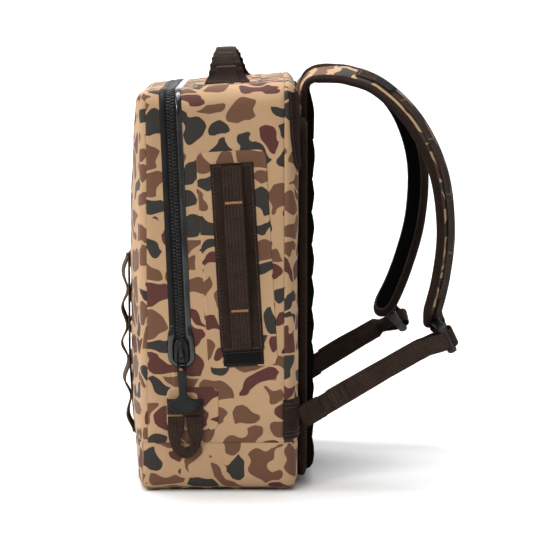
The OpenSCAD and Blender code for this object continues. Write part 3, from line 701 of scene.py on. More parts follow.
def zip_half(name, sign, slot, body_kw, replaces):
    part = Part()
    rows = zip_rows(4.0, GARAGE_Z)
    wide = [(13.7, -0.5), (13.5, 0.45), (12.7, 1.0), (11.0, 1.5), (9.0, 1.75), (7.4, 1.5), (6.4, 0.95), (6.1, 0.2),
            (6.1, -2.0), (13.0, -2.9)]
    zip_profile(part, rows, [(sign * o, h) for o, h in wide], 0 if sign > 0 else 1)
    zip_profile(part, rows, [(sign * o, h) for o, h in [(6.1, 0.15), (0.4, 0.15), (0.4, -1.6), (6.1, -1.6)]], 1)
    zip_profile(part, rows, [(sign * o, h) for o, h in
                             [(6.05, 0.1), (5.9, 0.85), (5.3, 1.0), (4.9, 0.8), (4.9, 0.1)]], 1)
    fine = zip_rows(0.5, GARAGE_Z + 2)
    mid = zip_points(fine, 0.0)[0]
    s = np.concatenate([[0], np.cumsum(np.linalg.norm(np.diff(mid, axis=0), axis=1))])
    at = np.arange(3.0 + (2.1 if sign < 0 else 0), s[-1] - 2, 4.2)
    outline = [(-1.05, -0.2), (-1.0, 0.9), (-0.55, 1.35), (0.55, 1.35), (1.0, 0.9), (1.05, -0.2)]
    offs = [(5.0, 0.55, 0.7), (4.4, 0.9, 1.0), (2.6, 1.0, 1.05), (0.4, 1.0, 1.1), (-0.7, 0.8, 0.8)]
    idx = np.searchsorted(s, at)
    tan = unit(np.gradient(mid, axis=0))
    for i in idx:
        row = fine[i:i + 1]
        ring = []
        for o, wide_, tall in offs:
            p, n = zip_points(row, sign * o)
            lean = (o - 2.5) * 0.22
            ring.append([p[0] + tan[i] * (a * wide_ + lean) + n[0] * (0.1 + h * tall) for a, h in outline])
        ring = np.array(ring)
        part.grid(ring, mat=2, out=ring - ring.mean((0, 1)), loop=True, caps=True)
    obj = part.build(name, [FLANGE, FLANGE_MATT, TEETH])
    return finish_piece(obj, slot=slot, replaces=replaces, **body_kw)


zip_half("zipper_rear", 1, "zipper_rubber", {"body": "pack"}, ("zipper_tape_rear", "zipper_teeth_rear"))
zip_half("zipper_front", -1, "zipper_rubber", {"blend": FOLD}, ("zipper_tape_front", "zipper_teeth_front"))


def side_points(sx, y, z, lift=0.0):
    """Points on a side panel, at y and z, lifted off it."""
    zz = np.clip(z, 0, None)
    return skin(np.stack(np.broadcast_arrays(sx * HW, y, zz), -1), lift)


part = Part()
for sx in (1, -1):
    # raised rim round the end of the zipper
    a = np.linspace(0, math.pi, 25)
    foot = np.stack([12.6 * np.cos(a), 171 - 11.5 * np.sin(a)], 1)
    leg = np.array([[9.8, 209], [10.6, 203], [11.6, 195], [12.4, 186], [12.7, 178]])
    u = np.concatenate([leg, foot, leg[::-1] * [-1, 1]])
    u, _ = resample(u, 2.0)
    y = zip_y(u[:, 1]) + u[:, 0]
    mid, nrm = side_points(sx, y, u[:, 1])
    prof = [(-4.2, -0.4), (-4.0, 1.2), (-3.0, 2.5), (-1.2, 3.3), (0.8, 3.4), (2.4, 2.7), (3.4, 1.6), (4.3, 0.6),
            (4.7, -0.4)]
    taper = step(0, 14, np.minimum(np.arange(len(u)), np.arange(len(u))[::-1]) * 2.0)
    t = unit(np.gradient(mid, axis=0))
    w = unit(np.cross(nrm, t)) * (1 if sx > 0 else -1)
    centre = np.array([sx * HW, zip_y(185), 185])
    sign = np.sign(((mid - centre) * w).sum(1, keepdims=True))
    w = w * sign
    rings = np.array([[mid[i] + w[i] * (a_ * mix(0.62, 1, taper[i])) + nrm[i] * (h_ * mix(0.5, 1, taper[i]))
                       for a_, h_ in prof] for i in range(len(u))])
    part.grid(rings, mat=0, out=rings - (mid - nrm)[:, None, :], loop=True, caps=True)
    # the recess inside it
    R, A = pair(np.linspace(0, 1, 7), np.linspace(0, 2 * math.pi, 33)[:-1])
    yy = 10.2 * R * np.cos(A)
    zz = np.where(np.sin(A) < 0, 171 + 9.5 * R * np.sin(A), 171 + 38 * R * np.sin(A))
    p, n = side_points(sx, zip_y(zz) + yy, zz, 0.55 - 0.35 * R)
    part.grid(p, mat=1, out=n, loop=True)
garage = part.build("zipper_garages_moulded", [FLANGE, FLANGE_MATT], weld=0.01)
finish_piece(garage, "pack", "zipper_rubber", ("zipper_garages",))


def zip_frame(z):
    """Turns points given ahead of the zipper at a height, x out, y back, z up along it, into the row frame."""
    o = np.array([HW, zip_y(z), z])
    ct, st = math.cos(TILT), math.sin(TILT)
    return lambda p: o + np.stack([p[..., 0], p[..., 1] * ct - p[..., 2] * st, p[..., 1] * st + p[..., 2] * ct], -1)


def loft(part, sections, place, mat=0, n=24, power=3.0, caps=True):
    """Closed superellipse sections (x, y, z, half x, half y) along z."""
    rings = []
    for x, y, z, a, b in sections:
        t = np.linspace(0, 2 * math.pi, n + 1)[:-1]
        c, s = np.cos(t), np.sin(t)
        px = a * np.sign(c) * np.abs(c) ** (2 / power)
        py = b * np.sign(s) * np.abs(s) ** (2 / power)
        rings.append(np.stack([x + px, y + py, np.full(n, float(z))], 1))
    rings = place(np.array(rings))
    part.grid(rings, mat=mat, out=rings - rings.mean(1, keepdims=True), loop=True, caps=caps)


SLIDER_Z, PULL_X, PULL_UP = 177.0, 8.9, 4.0
slide = zip_frame(SLIDER_Z)
part = Part()
plate = np.array([[-8.6, -9], [-8, -11.5], [-5.6, -14], [0, -14.6], [5.6, -14], [8, -11.5], [8.6, -9], [8.6, -2],
                  [8.4, 7], [7, 11.5], [4.6, 14.6], [0, 15.4], [-4.6, 14.6], [-7, 11.5], [-8.4, 7], [-8.6, -2]])
dense = []
for i in range(len(plate)):
    a, b = plate[i], plate[(i + 1) % len(plate)]
    dense += [mix(a, b, k / 3) for k in range(3)]
dense = np.array(dense)
# the outer and inner plates as layers (share of the outline, height), each round its own middle
for middle, layers in (
        (4.5, [(0.0, 3.5), (0.9, 3.5), (1.0, 4.0), (1.0, 5.3), (0.94, 6.0), (0.84, 6.35), (0.5, 6.75), (0.0, 6.9)]),
        (-4.8, [(0.0, -3.6), (0.9, -3.7), (0.92, -4.2), (0.92, -5.4), (0.86, -6.0), (0.0, -6.1)])):
    rings = slide(np.array([np.stack([np.full(len(dense), h), dense[:, 0] * k, dense[:, 1] * k], 1)
                            for k, h in layers]))
    part.grid(rings, mat=0, out=rings - slide(np.array([middle, 0, 0])), loop=True)
for rail_y in (7.7, -7.7):
    loft(part, [(3.9, rail_y, z, 1.6, 0.9) for z in (-8.5, -4, 1, 6.5)], slide, n=12)
loft(part, [(-0.5, 0, z, 4.2, 0.45) for z in (-2, 4, 11.5)], slide, n=12)
arch = np.array([[5.2, 0, 12.2], [7.4, 0, 12.4], [9.6, 0, 11.2], [11.1, 0, 8.6], [11.5, 0, 5.0], [11.5, 0, -1.0],
                 [11.0, 0, -4.5], [9.2, 0, -7.3], [7.0, 0, -8.6], [5.2, 0, -8.8]])
arch, _ = resample(arch, 1.2)
inward = unit(np.array([7.0, 0, 2.0]) - arch)
sweep(part, slide(arch), -(slide(arch + inward) - slide(arch)), 2.1, 1.7, cols=5, edge=0.5)
obj = part.build("zipper_slider_cast", [PLASTIC])
finish_piece(obj, "zip_slider", "moulded_black", ("zipper_slider",))

pull = zip_frame(SLIDER_Z + PULL_UP)
# the cord, threaded through the slider's eye with its ends in the pull
part = Part()
line = np.array([[PULL_X, 4.3, -36], [PULL_X, 4.5, -27], [PULL_X, 4.9, -18], [PULL_X, 4.6, -9], [PULL_X, 3.9, -3.5],
                 [PULL_X, 2.4, -0.5], [PULL_X, 0, 0.3], [PULL_X, -2.4, -0.5], [PULL_X, -3.9, -3.5],
                 [PULL_X, -4.6, -9], [PULL_X, -4.9, -18], [PULL_X, -4.5, -27], [PULL_X, -4.3, -36]])
line, _ = resample(line, 1.0)


def round_section(r, n=12):
    t = np.linspace(0, 2 * math.pi, n + 1)[:-1]
    return np.stack([r * np.cos(t), r * np.sin(t)], 1)


sweep(part, pull(line), np.array([1.0, 0, 0]), 1.15, 2.3, sections=lambda i, h, t: round_section(1.15))
obj = part.build("pull_cord_braid", [CORD])
finish_piece(obj, "zip_pull", "cord", ("pull_cord",))

part = Part()
bar = [(-27.6, 3.0, 4.4), (-28.0, 3.3, 5.4), (-29, 3.6, 5.8), (-32, 3.7, 5.8), (-40, 3.4, 5.3), (-48, 3.3, 5.0),
       (-55, 3.3, 4.8), (-58, 3.5, 5.3), (-60.5, 3.6, 7.2), (-62.5, 3.6, 10.5), (-64, 3.5, 15.0), (-64.8, 3.4, 18.3),
       (-66, 3.3, 19.2), (-69, 3.3, 19.0), (-72, 3.3, 17.6), (-75.5, 3.2, 14.6), (-78, 3.0, 12.0), (-79, 2.3, 10.6)]
loft(part, [(PULL_X, 0, z, a, b) for z, a, b in bar], pull, n=36, power=4.0)
# raised edge round the blank face of the crossbar
edge = np.array([[-16.4, -66.4], [-8, -65.2], [0, -65.0], [8, -65.2], [16.4, -66.4], [15.6, -70.5], [11.2, -76],
                 [0, -76.6], [-11.2, -76], [-15.6, -70.5], [-16.4, -66.4]])
edge, _ = resample(edge, 1.2)
line = pull(np.stack([np.full(len(edge), PULL_X + 3.25), edge[:, 0], edge[:, 1]], 1))
sweep(part, line, np.array([1.0, 0, 0]), 0.45, 0.7, cols=3, caps=False)
obj = part.build("pull_handle_moulded", [RUBBER])
finish_piece(obj, "zip_pull", "pull_rubber", ("pull_handle",))


# ---------------------------------------------------------------- welded patches and handles on the sides

def bent(n, half, near=(0.5, 1.4, 2.6, 4.2)):
    """n values from -half to half, crowded at the ends."""
    inner = np.linspace(-half + near[-1] + 1.5, half - near[-1] - 1.5, n)
    e = half - np.array((0,) + near)
    return np.concatenate([-e, inner, e[::-1]])


def welded_patch(part, place, half_a, half_b, r, cloth_at, mat=0, height=0.95):
    """A patch with its doubled edge, laid on the surface that place(a, b, lift) gives."""
    a, b = pair(bent(int(half_a / 3), half_a), bent(int(half_b / 3), half_b))
    ca, cb = np.clip(a, r - half_a, half_a - r), np.clip(b, r - half_b, half_b - r)
    da, db = a - ca, b - cb
    h, m = np.hypot(da, db), np.maximum(np.abs(da), np.abs(db))
    k = np.where(h > 1e-9, m / np.maximum(h, 1e-9), 1)
    a2, b2 = ca + da * k, cb + db * k
    d = np.minimum(half_a - np.abs(a), half_b - np.abs(b))
    lift = height * step(-0.1, 0.5, d) - 0.35 * (1 - step(-0.1, 0.3, d)) + 0.45 * np.exp(-((d - 1.9) / 1.0) ** 2)
    p, n = place(a2, b2, lift)
    part.grid(p, np.stack([a2 + cloth_at[0], b2 + cloth_at[1], 0 * a2], -1), mat, out=n)


HANDLE_TILT = math.radians(3.2)
HANDLE_MID_Y, HANDLE_MID_Z = 27, 293


def handle_place(sx):
    c, s = math.cos(HANDLE_TILT), math.sin(HANDLE_TILT)

    def place(a, b, lift):
        return side_points(sx, HANDLE_MID_Y + a * c - b * s, HANDLE_MID_Z + a * s + b * c, lift)
    return place


def flat_panel(part, place, a0, a1, b0, b1, bottom, top, mat, cloth_at=(0, 0), dip=0.5, pitch=3.5):
    """A stitched layer of cloth between two heights over a surface, with rounded edges."""
    ha, hb = (a1 - a0) / 2, (b1 - b0) / 2
    a, b = pair(bent(max(3, int(ha * 2 / pitch)), ha, (0.35, 1.0, 2.0, 3.4)),
                bent(max(3, int(hb * 2 / pitch)), hb, (0.35, 1.0, 2.0, 3.4)))
    d = np.minimum(ha - np.abs(a), hb - np.abs(b))
    lift = mix(bottom, top, step(-0.2, 0.8, d)) - dip * np.exp(-((d - 3.4) / 0.9) ** 2)
    p, n = place(a + (a0 + a1) / 2, b + (b0 + b1) / 2, lift)
    part.grid(p, np.stack([a + cloth_at[0], b + cloth_at[1], 0 * a], -1), mat, out=n)


def place_line(place, ab, lift):
    ab = np.asarray(ab, float)
    p, n = place(ab[:, 0], ab[:, 1], np.full(len(ab), float(lift)))
    return p, n


def rect_line(a0, a1, b0, b1, pitch=2.0):
    line = np.array([[a0, b0], [a1, b0], [a1, b1], [a0, b1], [a0, b0]])
    out, _ = resample(line, pitch)
    return out


def bow(z):
    return 3.2 + 13 * np.cos(np.radians(np.minimum(90, np.abs(z) * 90 / 96))) ** 2


for sx, side in ((1, "right"), (-1, "left")):
    place = handle_place(sx)
    part = Part()
    mid_place = lambda a, b, lift, place=place: place(a, b - 2.5, lift)
    welded_patch(part, mid_place, 43, 133.5, 10, (2600, 0))
    obj = part.build(side + "_handle_patch_welded", [CAMO])
    finish_piece(obj, "pack", "camo_laminate", (side + "_handle_patch",))

    part = Part()
    flat_panel(part, place, -26.5, 26.5, -116, 116, 0.8, 3.0, 0)
    for rect, pitch in ((rect_line(-23.6, 23.6, -112.6, 112.6), 4.4),):
        p, n = place_line(place, rect, 2.75)
        stitches(part, p, n, 1, pitch=pitch, r=0.36)
    for b in (-105.5, 105.5, -98, 98):
        ab, _ = resample(np.array([[-12, b], [12, b]]), 1.5)
        p, n = place_line(place, ab, 3.0)
        stitches(part, p, n, 1, pitch=3.6, r=0.36)
    obj = part.build(side + "_handle_backing_sewn", [CLOTH_DARK, DARK_THREAD])
    finish_piece(obj, "pack", "webbing", (side + "_handle_backing",))

    # the strap: a bowed band with lengthwise ribs, its ends folded under and sewn down
    z = np.concatenate([np.linspace(-113, -92, 12), np.linspace(-90, 90, 61), np.linspace(92, 113, 12)])
    x = bow(z) + 1.5
    fold = np.exp(-((np.abs(z) - 103) / 3.2) ** 2) * 1.6 + np.exp(-((np.abs(z) - 110.5) / 2.0) ** 2) * 1.1
    x = x + fold
    cloud = np.stack([x, 0 * z, z], 1)
    ct, st = math.cos(HANDLE_TILT), math.sin(HANDLE_TILT)
    centre = np.array([sx * HW, HANDLE_MID_Y, HANDLE_MID_Z])
    world = centre + np.stack([sx * cloud[:, 0], -cloud[:, 2] * st, cloud[:, 2] * ct], 1)
    part = Part()

    def ribs(s, i):
        return np.where(s[:, 1] > 0, 0.28 * np.cos(s[:, 0] / 12 * math.pi * 5) ** 2, 0)
    sweep(part, world, np.array([float(sx), 0, 0]), 12.3, 3.0, mat=0, cols=25, crown=ribs)
    for zt in (-65, 68):
        mid = np.array([sx * (HW + bow(zt) + 3.15), HANDLE_MID_Y - zt * st, HANDLE_MID_Z + zt * ct])
        slope = (bow(zt + 1) - bow(zt - 1)) / 2
        along = unit(np.array([sx * slope, -st, ct]))
        bar_tack(part, mid, np.array([0, ct, st]), along, unit(np.array([sx * 1.0, 0, -slope])), 21, 3.4, 1,
                 r=0.42, lift=0.25)
    obj = part.build(side + "_handle_webbing", [WEB, TAN_THREAD])
    finish_piece(obj, "pack", "webbing", (side + "_handle_strap",))
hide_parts("side_handle_tacks")

# blank label under the right handle
part = Part()
place = handle_place(1)
flat_panel(part, place, -24, 26, -134, -114.5, 0.7, 2.5, 0, dip=0.25, pitch=2.5)
p, n = place_line(place, rect_line(-21.8, 23.8, -131.6, -117.5), 2.35)
stitches(part, p, n, 1, pitch=2.6, gap=0.8, r=0.25)
obj = part.build("size_label_blank", [LABEL, DARK_THREAD])
finish_piece(obj, "pack", "label_black", ("size_label",))


# ---------------------------------------------------------------- dock for the zip pull

def dock_place(a, b, lift):
    return side_points(1, -37 + a, 96 + b, lift)


part = Part()
welded_patch(part, lambda a, b, lift: dock_place(a + 9, b + 9, lift), 32, 27, 10, (3300, 500))
obj = part.build("dock_patch_welded", [CAMO])
finish_piece(obj, "pack", "camo_laminate", ("dock_patch",))

part = Part()
flat_panel(part, dock_place, -22.5, 22.5, 1.6, 21, 0.9, 3.5, 0, dip=0.3)
for b in (17.6, 14.2):
    ab, _ = resample(np.array([[-20, b], [20, b]]), 1.5)
    p, n = place_line(dock_place, ab, 3.4)
    stitches(part, p, n, 1, pitch=3.4, r=0.4)
ab, _ = resample(np.array([[-19.6, 14], [-19.6, 4], [19.6, 4], [19.6, 14]]), 1.5)
p, n = place_line(dock_place, ab, 3.4)
stitches(part, p, n, 1, pitch=3.8, r=0.34)
obj = part.build("dock_foot_sewn", [WEB, DARK_THREAD])
finish_piece(obj, "pack", "webbing", ("dock_loop_foot",))

part = Part()
hang = math.radians(5)


def dock_leg(rows, mat, start):
    """A hanging leg of webbing from (y, drop, stand-off, half width) rows."""
    rows = np.array(rows, float)
    d = np.linspace(0, len(rows) - 1, 34)
    rows = np.stack([np.interp(d, range(len(rows)), rows[:, k]) for k in range(rows.shape[1])], 1)
    for _ in range(3):
        rows[1:-1] = (rows[:-2] + 2 * rows[1:-1] + rows[2:]) / 4
    x = HW + 2.9 + rows[:, 2] + rows[:, 1] * math.tan(hang)
    line = np.stack([x, -37 + rows[:, 0], 96 - rows[:, 1]], 1)
    t = unit(np.gradient(line, axis=0))
    normal = np.cross(np.cross(t, np.array([1.0, 0, 0])), t)
    sweep(part, line, normal, rows[:, 3], 2.0, mat=mat, cols=13, start=start)


dock_leg([(-11.3, 0.6, 0.8, 10.4), (-11.3, 8, 0.3, 10.4), (-12.0, 18, 0.3, 9.8), (-13.2, 27, 0.3, 7.6),
          (-12.4, 36, 0.2, 5.6), (-8.6, 44, 0, 4.4), (-4, 49, -0.2, 3.2)], 0, 0)
dock_leg([(11.3, 0.6, 0.9, 10.4), (11.3, 8, 0.6, 10.4), (12.0, 18, 0.8, 9.8), (13.2, 27, 1.0, 7.6),
          (12.4, 36, 0.9, 5.6), (8.6, 44, 0.7, 4.4), (4, 49, 0.5, 3.2)], 0, 90)
# the turned-up underside that joins the legs
bend = np.linspace(-1, 1, 25)
drop = 45.2 - 9.5 * np.abs(bend) ** 1.6
under = np.stack([HW + 3.2 + drop * math.tan(hang) + 0.8 * (1 - bend ** 2), -37 + 13.5 * bend, 96 - drop], 1)
sweep(part, under, unit(np.array([0.9, 0, -0.42])), 8.2 - 4.2 * np.abs(bend) ** 1.5, 1.9, cols=13)
obj = part.build("dock_loop_webbing", [WEB])
finish_piece(obj, "dock", "webbing", ("dock_loop",))


# ---------------------------------------------------------------- top handle

HANDLE_Y = 14.0
TOP_MID = top_z(HANDLE_Y)
SLOPE = math.radians(4.4)


def top_place(a, b, lift):
    y = HANDLE_Y + b
    return skin(np.stack(np.broadcast_arrays(a, y, top_z(y)), -1), lift)


part = Part()
welded_patch(part, top_place, 130, 42, 12, (4100, 0))
obj = part.build("top_handle_patch_welded", [CAMO])
finish_piece(obj, "pack", "camo_laminate", ("top_handle_patch",))

part = Part()
for sx in (1, -1):
    def foot_place(a, b, lift, sx=sx):
        return top_place(a + sx * 98, b, lift)
    x0, x1 = (-24, 20) if sx > 0 else (-20, 24)
    flat_panel(part, foot_place, x0, x1, -28, 28, 0.8, 2.8, 0, dip=0.3)
    for inset in (3.4, 6.4):
        p, n = place_line(foot_place, rect_line(x0 + inset, x1 - inset, -28 + inset, 28 - inset), 2.7)
        stitches(part, p, n, 1, pitch=3.8, r=0.34)
obj = part.build("top_handle_feet_sewn", [CLOTH_DARK, DARK_THREAD])
finish_piece(obj, "pack", "webbing", ("top_handle_feet",))

arch = np.array([[114, 3.2], [104, 3.4], [97, 4.4], [92.5, 8], [89.5, 14], [85.5, 22], [79, 30], [68, 36], [52, 39.6],
                 [36, 41.0], [18, 41.6], [0, 41.8]])
arch = np.concatenate([arch, arch[-2::-1] * [-1, 1]])
arch, _ = resample(arch, 2.2)
for _ in range(4):
    arch[1:-1] = (arch[:-2] + 2 * arch[1:-1] + arch[2:]) / 4
h = arch[:, 1]
cs, sn = math.cos(SLOPE), math.sin(SLOPE)
line = np.stack([arch[:, 0], HANDLE_Y - (h - 2.2) * sn, TOP_MID + (h - 2.2) * cs], 1)
half = np.interp(h, [3.3, 6, 12, 20, 30, 36, 40, 42], [27, 26.4, 22.8, 20.2, 17.2, 15.2, 13.2, 12.6])
grip = step(58, 40, np.abs(arch[:, 0]))
thick = mix(2.6, 6.6, grip) + 0.5 * np.exp(-((np.abs(arch[:, 0]) - 60) / 3.0) ** 2)
centre = np.array([0, HANDLE_Y, TOP_MID - 60])
out_n = unit(line - centre)
part = Part()


folds = sum(a * np.exp(-((h - at) / w) ** 2)
            for at, w, a in ((17, 1.7, 1.3), (25, 1.9, 1.9), (32.5, 1.7, 1.6), (37.5, 1.4, 1.0)))
half = half + 0.7 * folds


def handle_ribs(s, i):
    return np.where(s[:, 1] > 0, 0.3 * np.cos(s[:, 0] / max(half[i], 1) * math.pi * 3) ** 2 + folds[i] * (
        1 + 0.25 * np.sin(s[:, 0] * 0.5 + i)), 0)


sweep(part, line, out_n, half, thick, cols=19, crown=handle_ribs, edge=0.35)
sweep(part, line[3:-3] + out_n[3:-3] * 1.9, out_n[3:-3], half[3:-3] * 0.62, 1.5, cols=9, mat=0)
for x in (86, 66, 45):
    for sx in (1, -1):
        i = int(np.argmin(np.abs(arch[:, 0] - sx * x)))
        t = unit(line[min(i + 1, len(line) - 1)] - line[i - 1])
        n = unit(out_n[i] - t * (out_n[i] @ t))
        bar_tack(part, line[i] + n * (2.9 if x > 60 else 4.1), np.cross(t, n), t, n, half[i] * 1.2, 3.0, 1, r=0.36)
obj = part.build("top_handle_arch", [CLOTH_DARK, DARK_THREAD])
zt = TOP_MID * MM
finish_piece(obj, slot="webbing", replaces=("top_handle_web", "top_handle_grip"),
             blend=("pack", "top_handle", (0, HANDLE_Y * MM, zt + 0.004), (0, HANDLE_Y * MM, zt + 0.020)))


# ---------------------------------------------------------------- webbing ladders on the front

LADDER_X, LADDER_LOW, PITCH = 75.0, 60.0, 45.0


def ladder_line(z, lift):
    """Middle of a ladder's webbing, clear of the crown at its inner edge."""
    edge = 19 * (62.5 / 163) ** 2.4
    b = 13 * ((z - 250) / 228) ** 2
    return -112 + np.maximum(edge, b) - lift


for sx, side in ((1, "right"), (-1, "left")):
    part = Part()
    x = sx * LADDER_X
    z = np.linspace(57, 288, 110)
    base = np.stack([np.full(len(z), x), ladder_line(z, 1.2), z], 1)
    sweep(part, base, np.array([0, -1.0, 0]), 12.5, 1.7, cols=9)
    z = np.linspace(58.5, 286.5, 170)
    wob = 1 + 0.16 * np.sin(z * 0.11 + (1.3 if sx > 0 else 0.2))
    lift = 3.3 + 6.4 * wob * np.sin(np.pi * (z - LADDER_LOW) / PITCH) ** 2
    lift = np.where((z < LADDER_LOW) | (z > LADDER_LOW + 5 * PITCH), 3.1, lift)
    sway = 0.8 * np.sin(z * 0.07 + sx)
    loops = np.stack([x + sway, ladder_line(z, lift), z], 1)
    t = unit(np.gradient(loops, axis=0))
    nrm = unit(np.cross(t, np.array([1.0, 0, 0])))
    nrm = np.where(nrm[:, 1:2] > 0, -nrm, nrm)
    nrm = unit(nrm + np.array([1.0, 0, 0]) * (0.11 * np.sin(z * 0.05 + 1.0) + 0.05)[:, None])
    sweep(part, loops, nrm, 12.4, 2.7, cols=9)
    for k in range(6):
        zk = LADDER_LOW + PITCH * k
        mid = np.array([x, float(ladder_line(np.array([zk]), 4.1)[0]), zk])
        bar_tack(part, mid, np.array([1.0, 0, 0]), np.array([0, 0, 1.0]), np.array([0, -1.0, 0]), 21, 3.6, 1, r=0.36)
    obj = part.build(side + "_ladder_webbing", [WEB_PALE, DARK_THREAD])
    replaced = ("right_front_ladder", "front_ladders_lower") if sx > 0 else ("left_front_ladder",)
    finish_piece(obj, slot="webbing", replaces=replaced, blend=FOLD)


# ---------------------------------------------------------------- cloth filled out by its padding

def inflate(obj, pinned, pressure, frames=14, reach=3.0):
    """Lets a piece's cloth fill out under pressure from within, held where pinned is 1."""
    mesh = obj.data
    n = len(mesh.vertices)
    start = np.empty(n * 3)
    mesh.vertices.foreach_get("co", start)
    mesh.vertices.foreach_set("co", start * 10)
    mesh.update()
    group = obj.vertex_groups.new(name="held")
    for i in np.nonzero(pinned > 0.02)[0]:
        group.add([int(i)], float(min(1, pinned[i])), "REPLACE")
    mod = obj.modifiers.new("cloth", "CLOTH")
    s = mod.settings
    s.quality = 6
    s.mass = 0.4
    s.air_damping = 3
    s.tension_stiffness = s.compression_stiffness = 25
    s.shear_stiffness = 8
    s.bending_stiffness = 0.8
    s.tension_damping = s.compression_damping = 12
    s.vertex_group_mass = "held"
    s.use_pressure = True
    s.uniform_pressure_force = pressure
    s.effector_weights.gravity = 0.0
    mod.collision_settings.use_collision = False
    mod.point_cache.frame_start, mod.point_cache.frame_end = 1, frames
    for f in range(1, frames + 1):
        scene.frame_set(f)
    got = obj.evaluated_get(bpy.context.evaluated_depsgraph_get())
    shape = got.to_mesh()
    end = np.empty(n * 3)
    shape.vertices.foreach_get("co", end)
    got.to_mesh_clear()
    obj.modifiers.remove(mod)
    obj.vertex_groups.remove(group)
    move = (end / 10 - start).reshape(-1, 3)
    size = np.linalg.norm(move, axis=1, keepdims=True)
    move = move * np.minimum(1, reach * MM / np.maximum(size, 1e-9))
    mesh.vertices.foreach_set("co", start + np.nan_to_num(move).ravel())
    mesh.update()
    scene.frame_set(1)


# ---------------------------------------------------------------- back pad

PAD_LOW, PAD_HIGH, PAD_HALF = 10.0, 456.0, 132.0
CHANNELS = np.arange(54, 400, 41) + 2.5


def pad_edge(z, grow=0.0):
    """Half width of the back pad at a height."""
    lo, hi = PAD_LOW - grow, PAD_HIGH + grow
    r0, r1 = 34 + grow, 20.0
    a = np.where(z < lo + r0, r0 - np.sqrt(np.maximum(0, r0 ** 2 - np.clip(lo + r0 - z, 0, r0) ** 2)), 0)
    b = np.where(z > hi - r1, r1 - np.sqrt(np.maximum(0, r1 ** 2 - np.clip(z - hi + r1, 0, r1) ** 2)), 0)
    return PAD_HALF + grow - a - b


part = Part()
zs = [PAD_LOW + 0.02, PAD_LOW + 1.2, PAD_LOW + 3.4]
marks = np.concatenate([[PAD_LOW], CHANNELS, [PAD_HIGH]])
for a, b in zip(marks[:-1], marks[1:]):
    zs += list(np.linspace(a + 3.2, b - 3.2, 9)) + [b - 1.6, b]
zs = np.array(sorted(set(np.round(zs, 3))))
zs = zs[(zs > PAD_LOW) & (zs < PAD_HIGH - 0.01)]
zs = np.concatenate([zs, [PAD_HIGH - 0.02]])
us = np.concatenate([[-1, -0.985, -0.96], np.linspace(-0.93, -0.13, 25),
                     [-0.105, -0.09, -0.045, 0, 0.045, 0.09, 0.105],
                     np.linspace(0.13, 0.93, 25), [0.96, 0.985, 1]])
Z, U = pair(zs, us)
X = U * pad_edge(Z)
inset = np.minimum(pad_edge(Z) - np.abs(X), np.minimum(Z - PAD_LOW, PAD_HIGH - Z))
chan = np.abs(Z[..., None] - CHANNELS).min(-1)
mid = np.abs(X)
rim = step(30, 15, pad_edge(Z) - np.abs(X))
puff = mix(step(2.0, 11, chan), 1 - 0.13 * np.exp(-(chan / 5.0) ** 2), rim) * step(10.5, 24, mid) * step(0, 14, inset)
puff = puff * step(-8, 44, PAD_HIGH - Z) ** 0.7
Y = (BACK_Y + 0.3 + 11.2 * step(-2, 7, inset) * mix(0.6, 1, step(0, 26, PAD_HIGH - Z)) + 8.2 * puff
     - 0.8 * step(3, 0, chan) * step(0, 8, inset))
Y = Y + 0.35 * np.sin(X * 0.11 + Z * 0.05) * np.sin(Z * 0.16 - X * 0.03) * step(0, 12, inset)
face = np.stack([X, Y, Z], -1)
part.grid(face, np.stack([X, Z, 0 * X], -1), 0, out=np.array([0, 1.0, 0]))
obj = part.build("back_pad_padded", [FOAM_MESH])
inflate(obj, (1 - step(0.05, 0.5, puff)).ravel(), 9.0, reach=2.2)
m = thicken(obj, 1.5).modifiers["thickness"]
m.offset = -1
finish_piece(obj, "pack", "pad_foam", ("back_pad",), padded=0.8)

part = Part()


def pad_rim(grow, pitch=3.0):
    r0, r1 = 34 + grow, 20 + 0.0
    w, lo, hi = PAD_HALF + grow, PAD_LOW - grow, PAD_HIGH + grow
    pts = [(-w + r0, lo), (w - r0, lo)]
    pts += [(w - r0 + r0 * math.sin(a), lo + r0 - r0 * math.cos(a)) for a in np.linspace(0.1, math.pi / 2, 12)]
    pts += [(w - r1 + r1 * math.cos(a), hi - r1 + r1 * math.sin(a)) for a in np.linspace(0, math.pi / 2, 10)]
    pts += [(-x, z) for x, z in pts[::-1]]
    out, _ = resample(np.array(pts), pitch)
    return out


rim = pad_rim(1.4)
line = np.stack([rim[:, 0], np.full(len(rim), BACK_Y + 4.6), rim[:, 1]], 1)
centre = np.array([0, BACK_Y + 4.6, 224.0])
outward = unit(np.gradient(line, axis=0))
outward = unit(np.cross(outward, np.array([0, 1.0, 0])))
outward = outward * np.sign(((line - centre) * outward).sum(1, keepdims=True))
wave = 0.25 * np.sin(np.arange(len(line)) * 0.9)
prof = [(-3.8, -4.4), (0.8, -4.4), (2.4, -3.6), (3.2, -1.2), (3.3, 1.4), (2.6, 3.6), (0.6, 5.2), (-3.0, 6.6),
        (-6.5, 7.2), (-6.5, 5.8), (-3.8, 3.0)]
rings = np.array([[line[i] + outward[i] * (a + wave[i]) + np.array([0, b, 0]) for a, b in prof]
                  for i in range(len(line))])
d = np.arange(len(line)) * 3.0
cl = np.stack([np.broadcast_to(np.arange(len(prof)) * 2.0, rings.shape[:2]),
               np.broadcast_to(d[:, None], rings.shape[:2]), 0 * rings[..., 0]], -1)
part.grid(rings, cl, 0, out=rings - (line + outward * -1)[:, None, :], loop=True, caps=True)
sew = line + outward * -3.4 + np.array([0, 6.6, 0])
stitches(part, sew, unit(np.array([0, 1.0, 0]) + outward * 0.35), 1, pitch=4.0, r=0.34)
obj = part.build("back_pad_binding_sewn", [BINDING, DARK_THREAD])
finish_piece(obj, "pack", "webbing", ("back_pad_binding",))

part = Part()


